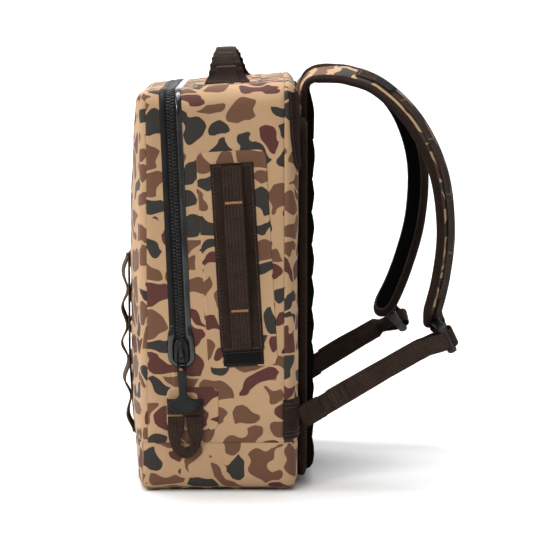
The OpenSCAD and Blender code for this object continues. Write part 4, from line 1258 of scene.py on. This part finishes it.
def back_place(a, b, lift):
    return skin(np.stack(np.broadcast_arrays(a, BACK_Y + 0 * np.asarray(b, float), b), -1), lift)


flat_panel(part, back_place, -101, 101, 443, 473, 0.5, 2.4, 0, dip=0.3)
for rect in (rect_line(-98, 98, 446, 470), rect_line(-95.5, 95.5, 448.5, 467.5)):
    p, n = place_line(back_place, rect, 2.3)
    stitches(part, p, n, 1, pitch=3.8, r=0.34)
obj = part.build("yoke_panel_sewn", [CLOTH_DARK, DARK_THREAD])
finish_piece(obj, "pack", "webbing", ("yoke_panel",))


for sx, side in ((1, "right"), (-1, "left")):
    # the yoke's end, carried down the corner as a tapering tab with a round end
    part = Part()
    zs = np.concatenate([398 + 8 * (1 - np.cos(np.linspace(0, math.pi / 2, 8))), np.linspace(410, 494, 29),
                         [495.5, 496.5, 497]])
    A, B = pair(np.concatenate([[0, 0.03, 0.08], np.linspace(0.16, 0.84, 9), [0.92, 0.97, 1]]), zs)
    wide = np.interp(B, [398, 398.8, 401, 406, 440, 497], [0.02, 0.13, 0.24, 0.33, 0.46, 0.6])
    u = 0.84 - wide * A
    edge = np.minimum(np.minimum(A, 1 - A) * wide * 40, np.minimum(B - 397.8, 497 - B))
    lift = 0.2 + 2.1 * step(-0.3, 0.9, edge) - 0.3 * np.exp(-((edge - 3.0) / 0.8) ** 2)
    box = np.stack([sx * mix(HW + 0 * u, HW - 30, step(0.35, 1, u)), mix(86, BACK_Y + 0 * u, step(0, 0.8, u)), B], -1)
    p, n = skin(box, lift)
    part.grid(p, np.stack([A * wide * 40, B, 0 * A], -1), 0, out=n)
    for f in (0.12, 0.88):
        z = np.linspace(404, 494, 44)
        w = np.interp(z, [398, 406, 440, 497], [0.1, 0.33, 0.46, 0.6])
        u = 0.84 - w * f
        q = np.stack([sx * mix(HW + 0 * u, HW - 30, step(0.35, 1, u)),
                      mix(86, BACK_Y + 0 * u, step(0, 0.8, u)), z], -1)
        e, m = skin(q, 2.2)
        stitches(part, e, m, 1, pitch=3.8, r=0.36)
    obj = part.build(side + "_yoke_tab_sewn", [BINDING, DARK_THREAD])
    finish_piece(obj, "pack", "webbing")


# ---------------------------------------------------------------- shoulder straps

# the right strap's middle line as stations: x, y, z, the way its face looks (x, y, z), and its width
PAD_LINE = np.array([
    [72, 110, 432, 0, -1, 0, 60], [69, 110.6, 454, 0, -1, 0, 62], [64, 111, 475, 0, -1, 0, 62],
    [59, 111.5, 494, 0, -1, 0.1, 62], [57, 117, 506, 0.1, -0.65, 0.7, 61], [56, 127, 511, 0.2, -0.2, 0.96, 60],
    [56, 137, 512.4, 0.22, -0.15, 0.96, 60], [57, 151, 512.6, 0.25, 0.05, 0.96, 61],
    [59, 168, 510.5, 0.27, 0.22, 0.94, 62], [66, 206, 496, 0.3, 0.5, 0.81, 62],
    [79, 249, 454, 0.34, 0.76, 0.54, 62], [93, 279, 392, 0.36, 0.9, 0.22, 62], [105, 288, 322, 0.37, 0.93, -0.04, 60],
    [114, 282, 262, 0.39, 0.9, -0.2, 58], [119, 270, 215, 0.41, 0.87, -0.28, 57],
    [121.5, 263, 200, 0.42, 0.85, -0.31, 53]], float)
STRAP_FOOT = np.array([158.0, 113, 94])
PAD_T = 10.6
TIP = 25.0
SIDE_PLATE_STRETCH = 1.85


def lean_point(p, lean):
    p = np.asarray(p, float)
    drop = np.maximum(0, 490 - p[..., 2])
    return p - np.stack([0 * drop, lean * drop, lean * drop / 4], -1)


def smooth_line(s, n):
    """Catmull-Rom through the rows of s, n steps to each span."""
    out = []
    for i in range(len(s) - 1):
        a, b, c, d = s[max(i - 1, 0)], s[i], s[i + 1], s[min(i + 2, len(s) - 1)]
        for k in range(n):
            t = k / n
            out.append(0.5 * (2 * b + (c - a) * t + (2 * a - 5 * b + 4 * c - d) * t * t
                              + (3 * b - 3 * c + d - a) * t ** 3))
    return np.array(out + [s[-1]])


def frame_along(line, normals):
    """Unit width and face directions along a line."""
    tan = unit(np.gradient(line, axis=0))
    w = unit(np.cross(tan, normals))
    return tan, w, unit(np.cross(w, tan))


def strap_face(k):
    """Half thickness of a strap pad at k of the way from its middle to its edge."""
    return 1.9 + (PAD_T / 2 - 1.9) * (1 - np.clip(k, 0, 1) ** 4)


class Strap:
    def __init__(self, sx, side, lean, cant, turns):
        self.sx, self.side, self.lean, self.turns = sx, side, lean, turns
        s = PAD_LINE.copy()
        s[:, :3] = lean_point(s[:, :3], lean)
        if sx < 0:
            s[-1, 1:3] += (-7.5, -7.5)
        s[:, 3] *= np.where(s[:, 4] < 0.04, 1, cant)
        s, _ = resample(smooth_line(s, 8), 4.2)
        s[:, 0] *= sx
        s[:, 3] *= sx
        self.line, self.half = s[:, :3], s[:, 6] / 2
        self.tan, self.w, self.face = frame_along(self.line, s[:, 3:6])
        self.run = np.concatenate([[0], np.cumsum(np.linalg.norm(np.diff(self.line, axis=0), axis=1))])
        self.over = float(self.run[int(np.argmin(np.abs(self.line[:, 1] - 132)))])
        self.lock = lean_point([128, 284, 190.0], lean) * [sx, 1, 1]
        self.foot = STRAP_FOOT * [sx, 1, 1]
        self.dir = unit(self.lock - self.foot)
        self.length = float(np.linalg.norm(self.lock - self.foot))
        self.blend = ("pack", side + "_strap", (0, 0.121, 0.511), (0, 0.151, 0.511))

    def flat(self):
        x = np.array([float(self.sx), 0, 0])
        return unit(x - self.dir * (x @ self.dir))

    def out(self, turn):
        a = math.radians(turn)
        return self.flat() * math.cos(a) - np.cross(self.flat(), self.dir) * self.sx * math.sin(a)

    def rows(self, lo, hi):
        return np.nonzero((self.run >= lo) & (self.run <= hi))[0]

    def at(self, run):
        """Middle, width direction, face, tangent and half width of the pad at distances along it."""
        get = lambda v: np.stack([np.interp(run, self.run, v[:, k]) for k in range(3)], -1)
        return (get(self.line), unit(get(self.w)), unit(get(self.face)), unit(get(self.tan)),
                np.interp(run, self.run, self.half))

    def pad(self):
        part = Part()
        n = 19
        end = self.run[-1]
        runs = np.concatenate([np.arange(0, end - TIP, 4.2),
                               end - TIP + TIP * np.sin(np.linspace(0.02, math.pi / 2 - 0.05, 13))])
        base, w, f, tan, half = self.at(runs)
        t = np.clip((runs - end + TIP) / TIP, 0, 1)[:, None]
        s = np.sin(np.linspace(-math.pi / 2, math.pi / 2, n))[None, :]
        a = s * half[:, None] * np.sqrt(1 - t ** 2)
        k = np.hypot(a / half[:, None], t)
        r = runs[:, None] + 0 * a
        bend = np.exp(-((r - self.over) / 26) ** 2) * (1 - k ** 2)
        crease = bend * 0.55 * np.sin(r * 2 * math.pi / 8.5)
        soft = 0.3 * np.sin(r * 0.075 + a * 0.12) * (1 - k ** 2)
        on_rail = step(self.over + 40, self.over + 60, r) * step(end - 24, end - 34, r)
        groove = 0.9 * on_rail * np.exp(-((np.abs(a) - 12.4) / 1.5) ** 2)
        up = strap_face(k) + crease + soft - groove + 3.6 * step(self.over - 14, self.over - 34, r) * (1 - k ** 4)
        down = strap_face(k) - crease + 7.5 * step(self.over - 20, self.over - 64, r) * (1 - k ** 6)
        outer = base[:, None] + w[:, None] * a[..., None] + f[:, None] * up[..., None]
        inner = base[:, None] + w[:, None] * a[..., None] - f[:, None] * down[..., None]
        part.grid(outer, np.stack([a + 5200 + self.sx * 300, r, 0 * a], -1), 0, out=outer - inner)
        part.grid(inner, np.stack([a, r, 0 * a], -1), 1, out=inner - outer)
        for side in (0, -1):
            rim = np.stack([inner[:, side], outer[:, side]], 1)
            part.grid(rim, mat=1, out=(outer[:, side] - outer[:, n // 2])[:, None, :] + 0 * rim)
        for i in (0, -1):
            rim = np.stack([inner[i], outer[i]], 1)
            part.grid(rim, mat=1, out=tan[i] * (1 if i else -1))
        obj = part.build(self.side + "_strap_padded", [CAMO, FOAM_MESH])
        held = np.maximum(step(0.72, 0.88, k), step(self.over + 30, self.over + 10, r)).ravel()
        rail = (on_rail * (np.abs(np.abs(a) - 12.4) < 3)).ravel()
        pinned = np.ones(len(obj.data.vertices))
        pinned[:k.size] = np.maximum(held, rail)
        pinned[k.size:2 * k.size] = held
        inflate(obj, pinned, 5.0, reach=1.4)
        b = bmesh.new()
        b.from_mesh(obj.data)
        bmesh.ops.remove_doubles(b, verts=b.verts, dist=0.00002)
        b.to_mesh(obj.data)
        b.free()
        finish_piece(obj, slot="camo_laminate", padded=0.8, blend=self.blend,
                     replaces=(self.side + "_strap_pad", self.side + "_strap_root"))

    def edge(self, pitch=3.0):
        """The pad's outline down one side, round its end and up the other: run, across, and the way out of it."""
        end = self.run[-1]
        straight = np.arange(0, end - TIP, pitch)
        turn = np.linspace(0, math.pi, 28)
        half = np.interp(straight, self.run, self.half)
        tip = np.interp(end - TIP + TIP * np.sin(turn), self.run, self.half)
        run = np.concatenate([straight, end - TIP + TIP * np.sin(turn), straight[::-1]])
        a = np.concatenate([half, tip * np.cos(turn), -half[::-1]])
        ow = np.concatenate([1 + 0 * half, np.cos(turn) / tip, -1 + 0 * half])
        ot = np.concatenate([0 * half, np.sin(turn) / TIP, 0 * half])
        k = np.hypot(ow, ot)
        return run, a, ow / k, ot / k

    def binding(self):
        part = Part()
        run, a, ow, ot = self.edge()
        base, w, f, tan, half = self.at(run)
        out = w * ow[:, None] + tan * ot[:, None]
        rings, cl = [], []
        for i in range(len(run)):
            h = half[i]
            bend = math.exp(-((run[i] - self.over) / 24) ** 2)
            wob = 0.18 * math.sin(i * 2.6) + bend * 0.6 * math.sin(run[i] * 2 * math.pi / 7.5)
            o = lambda d: float(strap_face(1 - d / h))
            prof = [(-10, o(10) + 0.2), (-8.5, o(8.5) + 0.75), (-5, o(5) + 0.95), (-1.6, o(1.6) + 0.9),
                    (0.5, 2.3), (1.3, 0.9), (1.3, -0.9), (0.5, -2.3), (-1.6, -o(1.6) - 0.9),
                    (-5, -o(5) - 0.95), (-8.5, -o(8.5) - 0.75), (-10, -o(10) - 0.2), (-9.5, -o(9.5) + 0.6),
                    (-2.4, -1.0), (-2.4, 1.0), (-9.5, o(9.5) - 0.6)]
            edge = base[i] + w[i] * a[i]
            rings.append([edge + out[i] * (d + (wob * 0.5 if abs(b) < 3 else 0))
                          + f[i] * (b + math.copysign(wob * 0.4, b)) for d, b in prof])
            cl.append([[j * 2.2, i * 3.0, 0] for j in range(len(prof))])
        rings = np.array(rings)
        core = rings.mean(1, keepdims=True) + (out * -2.5)[:, None, :]
        part.grid(rings, np.array(cl), 0, out=rings - core, loop=True, caps=True)
        for side in (1, -1):
            lift = strap_face(1 - 6.6 / half) + 0.9
            p = base + w * a[:, None] - out * 6.6 + f * (side * lift)[:, None]
            stitches(part, p[2:-2], f[2:-2] * side, 1, pitch=4.2, r=0.36)
        obj = part.build(self.side + "_strap_edge_binding", [BINDING, DARK_THREAD])
        finish_piece(obj, slot="webbing", blend=self.blend, replaces=(self.side + "_strap_binding",))

    def rail(self):
        part = Part()
        i = self.rows(self.over + 46, self.run[-1] - 31)
        run = self.run[i]
        lift = PAD_T / 2 + 1.05 + 0.35 * np.sin(run * 0.09)
        line = self.line[i] + self.face[i] * lift[:, None]
        ribs = lambda s, k: np.where(s[:, 1] > 0, 0.22 * np.cos(s[:, 0] / 12.5 * math.pi * 4) ** 2, 0)
        sweep(part, line, self.face[i], 12.6, 1.7, cols=15, crown=ribs)
        for a in (-10.6, 10.6):
            stitches(part, line + self.w[i] * a + self.face[i] * 0.9, self.face[i], 1, pitch=4.2, r=0.36)
        tacks = [self.over + along for along in (52, 112, 172, 242, 312)] + [self.run[-1] - 38]
        for at in tacks:
            k = int(np.argmin(np.abs(self.run - at)))
            mid = self.line[k] + self.face[k] * (PAD_T / 2 + 2.1)
            bar_tack(part, mid, self.w[k], self.tan[k], self.face[k], 21, 3.2, 1, r=0.38)
        obj = part.build(self.side + "_strap_rail_sewn", [WEB, DARK_THREAD])
        finish_piece(obj, self.side + "_strap", "webbing", (self.side + "_strap_rail",))

    def tag(self):
        part = Part()
        i = self.rows(self.over + 66, self.over + 100)
        line = self.line[i] + self.face[i] * (PAD_T / 2 + 2.6)
        sweep(part, line, self.face[i], 13.6, 1.3, cols=9)
        edge = [line + self.w[i] * a + self.face[i] * 0.62 for a in (-12.2, 12.2)]
        for e in edge:
            stitches(part, e, self.face[i], 1, pitch=2.8, gap=0.8, r=0.26)
        obj = part.build(self.side + "_strap_tag_blank", [LABEL, DARK_THREAD])
        finish_piece(obj, self.side + "_strap", "label_black", (self.side + "_strap_tag",))

    def lock_point(self, x, y):
        return self.lock + self.out(self.turns[1]) * x + self.dir * y

    def end_loop(self):
        """Webbing that leaves the pad's face near its end, goes round the buckle's inner bar and comes back."""
        part = Part()
        o = self.out(self.turns[1])
        bar = self.lock_point(-13, 0)
        leave = self.run[-1] - 24
        base, w, f, tan, _ = self.at(np.array([leave]))
        base, w, f, tan = base[0], w[0], f[0], tan[0]
        off = base + f * (PAD_T / 2 + 2.2)
        way = unit(bar - off)
        c = np.cross(o, self.dir)
        c = c * np.sign(c @ w)
        side_dir = unit(np.cross(c, way))
        side_dir = side_dir * np.sign(side_dir @ f)
        path, wd, gap = [], [], []
        for t in np.linspace(0, 1, 8):
            path.append(off - tan * 14 * (1 - t) + f * 0.5)
            wd.append(w)
            gap.append(f * 1.6)
        for t in np.linspace(0.1, 0.9, 10):
            side = unit(mix(f, side_dir, t))
            path.append(mix(off, bar, t) + side * mix(0.5, 3.0, step(0.2, 0.9, t)))
            wd.append(unit(mix(w, c, step(0, 0.8, t))))
            gap.append(side * mix(1.8, 6.0, step(0.2, 0.9, t)))
        front = len(path)
        for a in np.linspace(80, -80, 9):
            path.append(bar + side_dir * 3.0 * math.sin(math.radians(a)) + way * 3.0 * math.cos(math.radians(a)))
            wd.append(c)
        for k in range(front - 1, 1, -1):
            path.append(path[k] - gap[k])
            wd.append(wd[k])
        path, wd = np.array(path), np.array(wd)
        for _ in range(2):
            path[1:-1] = (path[:-2] + 2 * path[1:-1] + path[2:]) / 4
        t = unit(np.gradient(path, axis=0))
        sweep(part, path, np.cross(wd, t), 11.6, 1.7, cols=11)
        obj = part.build(self.side + "_end_loop_webbing", [WEB, DARK_THREAD])
        finish_piece(obj, self.side + "_strap", "webbing", (self.side + "_end_loop",))

    def station(self, along, off):
        start = self.turns[0] * 0.35
        turn = start + (self.turns[1] - start) * min(1, along / self.length) ** 3
        return self.foot + self.dir * along + self.out(turn) * off, self.out(turn)

    def webbing(self):
        part = Part()
        o = self.out(self.turns[1])
        near = self.length - 34
        path, nrm = [], []

        def put(p, n):
            path.append(p)
            nrm.append(n)
        for a in np.linspace(-4, near, 40):
            p, n = self.station(max(a, 0), 0.9 + 0.6 * math.sin(a * 0.035))
            put(p + self.dir * min(a, 0), n)
        for y, off in ((-26, 1.6), (-18, 3.9), (-10, 5.0), (-3, 5.2)):
            put(self.station(self.length + y, off)[0], self.station(self.length, 0)[1])
        for t in range(180, -1, -15):
            a = math.radians(t)
            put(self.lock_point(10.5 + 5.3 * math.cos(a), 6 + 5.3 * math.sin(a)),
                -o * math.cos(a) - self.dir * math.sin(a))
        for y, off in ((0, 15.8), (-8, 15.4), (-14, 13.0), (-20, 9.4), (-27, 5.8)):
            put(self.station(self.length + y, off)[0], -o)
        for a in np.linspace(near - 2, 34, 34):
            sag = 3.3 + 1.6 * math.sin(math.pi * (near - a) / (near - 30)) ** 2
            p, n = self.station(a, sag)
            rise = 2.4 * step(near, near - 70, a)
            put(p + np.array([0, 0.3, 1.0]) * rise, -n)
        path, nrm = np.array(path), np.array(nrm)
        for _ in range(2):
            path[1:-1] = (path[:-2] + 2 * path[1:-1] + path[2:]) / 4
        thick = np.full(len(path), 1.7)
        ribs = lambda s, k: 0.2 * np.cos(s[:, 0] / 13.5 * math.pi * 5) ** 2 * np.sign(s[:, 1])
        sweep(part, path, nrm, 13.4, thick, cols=17, crown=ribs)
        # folded and stitched hem at the free end
        last, n_last = path[-1], -nrm[-1]
        d = unit(path[-1] - path[-3])
        hem = [last + n_last * 1.9 - d * 22, last + n_last * 2.1 - d * 10, last + n_last * 2.0 - d * 2,
               last + n_last * 1.2 + d * 1.6, last + n_last * 0.2 + d * 1.7]
        hem, _ = resample(np.array(hem), 1.6)
        sweep(part, hem, np.broadcast_to(n_last, hem.shape), 13.2, 1.7, cols=9)
        w = unit(np.cross(d, n_last))
        for back in (4, 9, 17):
            row = np.array([last + n_last * 3.0 - d * back + w * a for a in np.linspace(-11, 11, 8)])
            stitches(part, row, n_last, 1, pitch=3.2, r=0.36)
        obj = part.build(self.side + "_lower_webbing_run", [WEB, DARK_THREAD])
        a, b = self.foot * MM, (self.foot + self.dir * 24) * MM
        finish_piece(obj, slot="webbing", replaces=(self.side + "_lower_webbing",),
                     blend=("pack", self.side + "_strap", tuple(a), tuple(b)))

    def buckle(self):
        part = Part()
        o, d = self.out(self.turns[1]), self.dir
        c = np.cross(o, d)

        def at(p):
            return self.lock + p[..., :1] * o + p[..., 1:2] * d + p[..., 2:] * c
        # the side plates' outline, with its thickness drawn out as the moulding looks in use
        outline = np.array([1.0, SIDE_PLATE_STRETCH]) * np.array([
            [-17.6, -0.6], [-17.2, -2.6], [-14.5, -3.4], [-8, -3.2], [-3, -2.7], [4, -2.7], [10, -3.2], [14.5, -3.0],
            [17.2, -1.6], [18.3, 0.6], [17.0, 2.6], [13, 3.3], [4, 2.8], [-3, 2.8], [-8, 3.2], [-14.5, 3.3],
            [-17.2, 2.3]])
        dense = []
        for i in range(len(outline)):
            a, b = outline[i], outline[(i + 1) % len(outline)]
            dense += [mix(a, b, k / 3) for k in range(3)]
        dense = np.array(dense)
        for side in (-1, 1):
            mid = side * 17.0
            layers = [(0.0, -2.9), (0.86, -2.9), (0.97, -2.2), (1, -1.2), (1, 1.2), (0.97, 2.2), (0.86, 2.9),
                      (0.0, 2.9)]
            rings = np.array([np.stack([dense[:, 0] * mix(1, k, 0.4 if k > 0 else 1), dense[:, 1] * k,
                                        np.full(len(dense), mid + h)], 1) for k, h in layers])
            part.grid(at(rings), out=at(rings) - at(np.array([0, 0, mid])), loop=True)
        for x, half_x, half_y in ((-13.0, 1.8, 1.8), (0.0, 2.2, 1.6), (10.5, 1.9, 2.0)):
            t = np.linspace(0, 2 * math.pi, 17)[:-1]
            ring = np.stack([half_x * np.sign(np.cos(t)) * np.abs(np.cos(t)) ** 0.75,
                             half_y * np.sign(np.sin(t)) * np.abs(np.sin(t)) ** 0.75], 1)
            rings = np.array([np.stack([x + ring[:, 0], ring[:, 1], np.full(16, z)], 1)
                              for z in np.linspace(-15, 15, 9)])
            part.grid(at(rings), out=at(rings) - at(np.array([x, 0, 0])), loop=True)
        # thumb lip beyond the outer bar
        rings = []
        for z in np.linspace(-17, 17, 17):
            reach = 18.6 + 1.5 * (1 - (z / 17) ** 2)
            rings.append([[13.4, -1.4, z], [13.4, 0.7, z], [16.0, 1.6, z], [reach - 0.6, 2.7, z], [reach, 2.2, z],
                          [reach - 0.3, 0.9, z], [16.4, -0.8, z]])
        rings = np.array(rings)
        part.grid(at(rings), out=at(rings) - at(rings.mean(1, keepdims=True)), loop=True, caps=True)
        obj = part.build(self.side + "_ladderlock_moulded", [PLASTIC])
        finish_piece(obj, self.side + "_buckle", "moulded_black", (self.side + "_ladderlock",))

    def anchor(self):
        """Folded webbing tab sewn round the bevel at the foot, with the lower webbing caught in it."""
        part = Part()
        a, b = pair(np.concatenate([[0, 0.02, 0.06], np.linspace(0.12, 0.88, 12), [0.94, 0.98, 1]]), np.concatenate(
            [[66, 66.5, 67.5, 69.5], np.linspace(72, 110, 14), [112.5, 114.5, 115.5, 116]]))
        edge = np.minimum(np.minimum(a, 1 - a) * 46, np.minimum(b - 66, 116 - b))
        lift = 0.5 + 1.9 * step(-0.3, 0.8, edge) - 0.35 * np.exp(-((edge - 3.2) / 0.8) ** 2)
        box = np.stack([self.sx * mix(HW + 0 * a, HW - 34, step(0.3, 1, a)),
                        mix(84, BACK_Y + 0 * a, step(0, 0.75, a)), b], -1)
        p, n = skin(box, lift)
        part.grid(p, np.stack([a * 46, b, 0 * a], -1), 0, out=n)
        for z in (71, 76, 106, 111):
            u = np.linspace(0.1, 0.9, 20)
            q = np.stack([self.sx * mix(HW, HW - 34, step(0.3, 1, u)), mix(84, BACK_Y, step(0, 0.75, u)),
                          np.full(20, float(z))], -1)
            s, m = skin(q, 2.35)
            stitches(part, s, m, 1, pitch=3.6, r=0.38)
        # the two plies that leave the tab with the webbing between them
        for off in (2.4, -1.9):
            path = [self.station(t, off + 0.3)[0] for t in np.linspace(0, 22, 9)]
            path = np.array([self.station(0, off * 0.4)[0] - self.dir * 9,
                             self.station(0, off * 0.7)[0] - self.dir * 4] + path)
            sweep(part, path, self.out(self.turns[0]) * np.sign(off), 14.6, 1.4, cols=9)
        obj = part.build(self.side + "_anchor_tab_sewn", [CLOTH_DARK, DARK_THREAD])
        finish_piece(obj, "pack", "webbing", (self.side + "_anchor_tab",))

    def all(self):
        self.pad()
        self.binding()
        self.rail()
        if self.sx > 0:
            self.tag()
        self.end_loop()
        self.webbing()
        self.buckle()
        self.anchor()


Strap(1, "right", 0, 1, (15, 25)).all()
Strap(-1, "left", 0.15, 0.8, (10, 65)).all()


# ---------------------------------------------------------------- inside

pocket_high = high("mesh_pocket")
part = Part()
A, B = pair(np.concatenate([[-118, -117, -114], np.linspace(-110, 110, 45), [114, 117, 118]]),
            np.concatenate([[210, 211, 214], np.linspace(218, 426, 43), [432, 436, 438, 440]]))
edge = np.minimum(118 - np.abs(A), np.minimum(B - 210, 440 - B))
sag = step(0, 16, edge) * (2.6 + 1.6 * np.sin(A * 0.05 + 0.6) * np.sin(B * 0.043) + 0.7 * np.sin(A * 0.13 - B * 0.09))
Yp = np.full(A.shape, pocket_high[1] - 4.4) + sag * 0.9
part.grid(np.stack([A, Yp, B], -1), np.stack([A, B, 0 * A], -1), 0, out=np.array([0, 1.0, 0]))
obj = part.build("mesh_pocket_cloth", [POCKET_MESH])
thicken(obj, 0.8)
finish_piece(obj, "front_lid", "mesh", ("mesh_pocket",))
part = Part()
rim, _ = resample(np.array([[-116, 212], [116, 212], [116, 438], [-116, 438], [-116, 212]]), 3.0)
line = np.stack([rim[:, 0], np.full(len(rim), pocket_high[1] - 3.2), rim[:, 1]], 1)
sweep(part, line, np.array([0, 1.0, 0]), 5.0, 1.1, cols=5)
stitches(part, line + np.array([0, 0.6, 0]), np.array([0, 1.0, 0]), 1, pitch=4.5, r=0.32)
obj = part.build("mesh_pocket_edge", [BINDING, DARK_THREAD])
finish_piece(obj, "front_lid", "webbing")
part = Part()
y = high("mesh_pocket_zip")[1] - 0.6
POCKET_ZIP_Z, POCKET_SLIDER_X = 423.5, 88
for z in (420.6, 426.4):
    line = np.array([[x, y - 0.5, z] for x in np.linspace(-104, 104, 40)])
    sweep(part, line, np.array([0, 1.0, 0]), 2.5, 0.8, cols=5, mat=0)
for k in range(100):
    x = -103 + k * 2.07
    z = POCKET_ZIP_Z + (0.5 if k % 2 else -0.5)
    sweep(part, np.array([[x - 0.65, y, z], [x + 0.65, y, z]]), np.array([0, 1.0, 0]), 1.5, 1.1, cols=3, mat=1)
loft(part, [(0, 0, h, a, b) for h, a, b in ((-0.9, 4.2, 4.6), (0.9, 4.2, 4.6), (1.5, 3.2, 3.8))],
     lambda q: np.stack([q[..., 0] + POCKET_SLIDER_X, q[..., 2] + y, q[..., 1] + POCKET_ZIP_Z], -1), mat=1, n=20)
loft(part, [(0, 0, h, a, b) for h, a, b in ((1.3, 1.8, 9.5), (2.2, 1.8, 9.5))],
     lambda q: np.stack([q[..., 0] + POCKET_SLIDER_X, q[..., 2] + y, q[..., 1] + 414.5], -1), mat=1, n=20)
obj = part.build("mesh_pocket_zip_coil", [BINDING, TEETH])
finish_piece(obj, "front_lid", "moulded_black", ("mesh_pocket_zip",))


def dress(node, mat, bevel):
    """Gives a carried-over solid its material and softened edges."""
    for obj in bpy.data.objects:
        if obj.type == "MESH" and obj.name == node:
            obj.data.materials.clear()
            obj.data.materials.append(mat)
            for poly in obj.data.polygons:
                poly.material_index = 0
            m = obj.modifiers.new("edge", "BEVEL")
            m.width = bevel * MM
            m.segments = 2
            m.limit_method = "ANGLE"


for node, bevel in (("base_board", 0.5), ("frame_sheet", 0.4)):
    dress(node, STIFF, bevel)


# ---------------------------------------------------------------- floor and backdrop

quarter = np.linspace(0, math.pi / 2, 16)[1:]
x = np.concatenate([np.linspace(3.4, -1.6, 26), -1.6 - 1.2 * np.sin(quarter), np.full(8, -2.8)])
z = np.concatenate([np.zeros(26), 1.2 - 1.2 * np.cos(quarter), np.linspace(1.4, 3.2, 8)])
part = Part()
grid = np.array([[[a * 1000, y * 1000, b * 1000 + FLOOR_Z] for y in np.linspace(-4, 4, 9)] for a, b in zip(x, z)])
part.grid(grid, mat=0, out=np.array([0.3, 0, 1.0]))
paper = Nodes("backdrop_paper", rough=0.9, spec=0.1)
at = paper.place()
tone = paper.range(paper.noise(at, 3, 3), 0.3, 0.7, 0.985, 1.0)
grey = paper.add("CombineXYZ", {0: tone, 1: tone, 2: tone}).outputs[0]
white = paper.mix(1.0, (0.93, 0.93, 0.93, 1), grey, "MULTIPLY")
floor = part.build("floor", [paper.done(white, paper.bump(paper.noise(at, 400, 2), 0.0001, 0.3))])
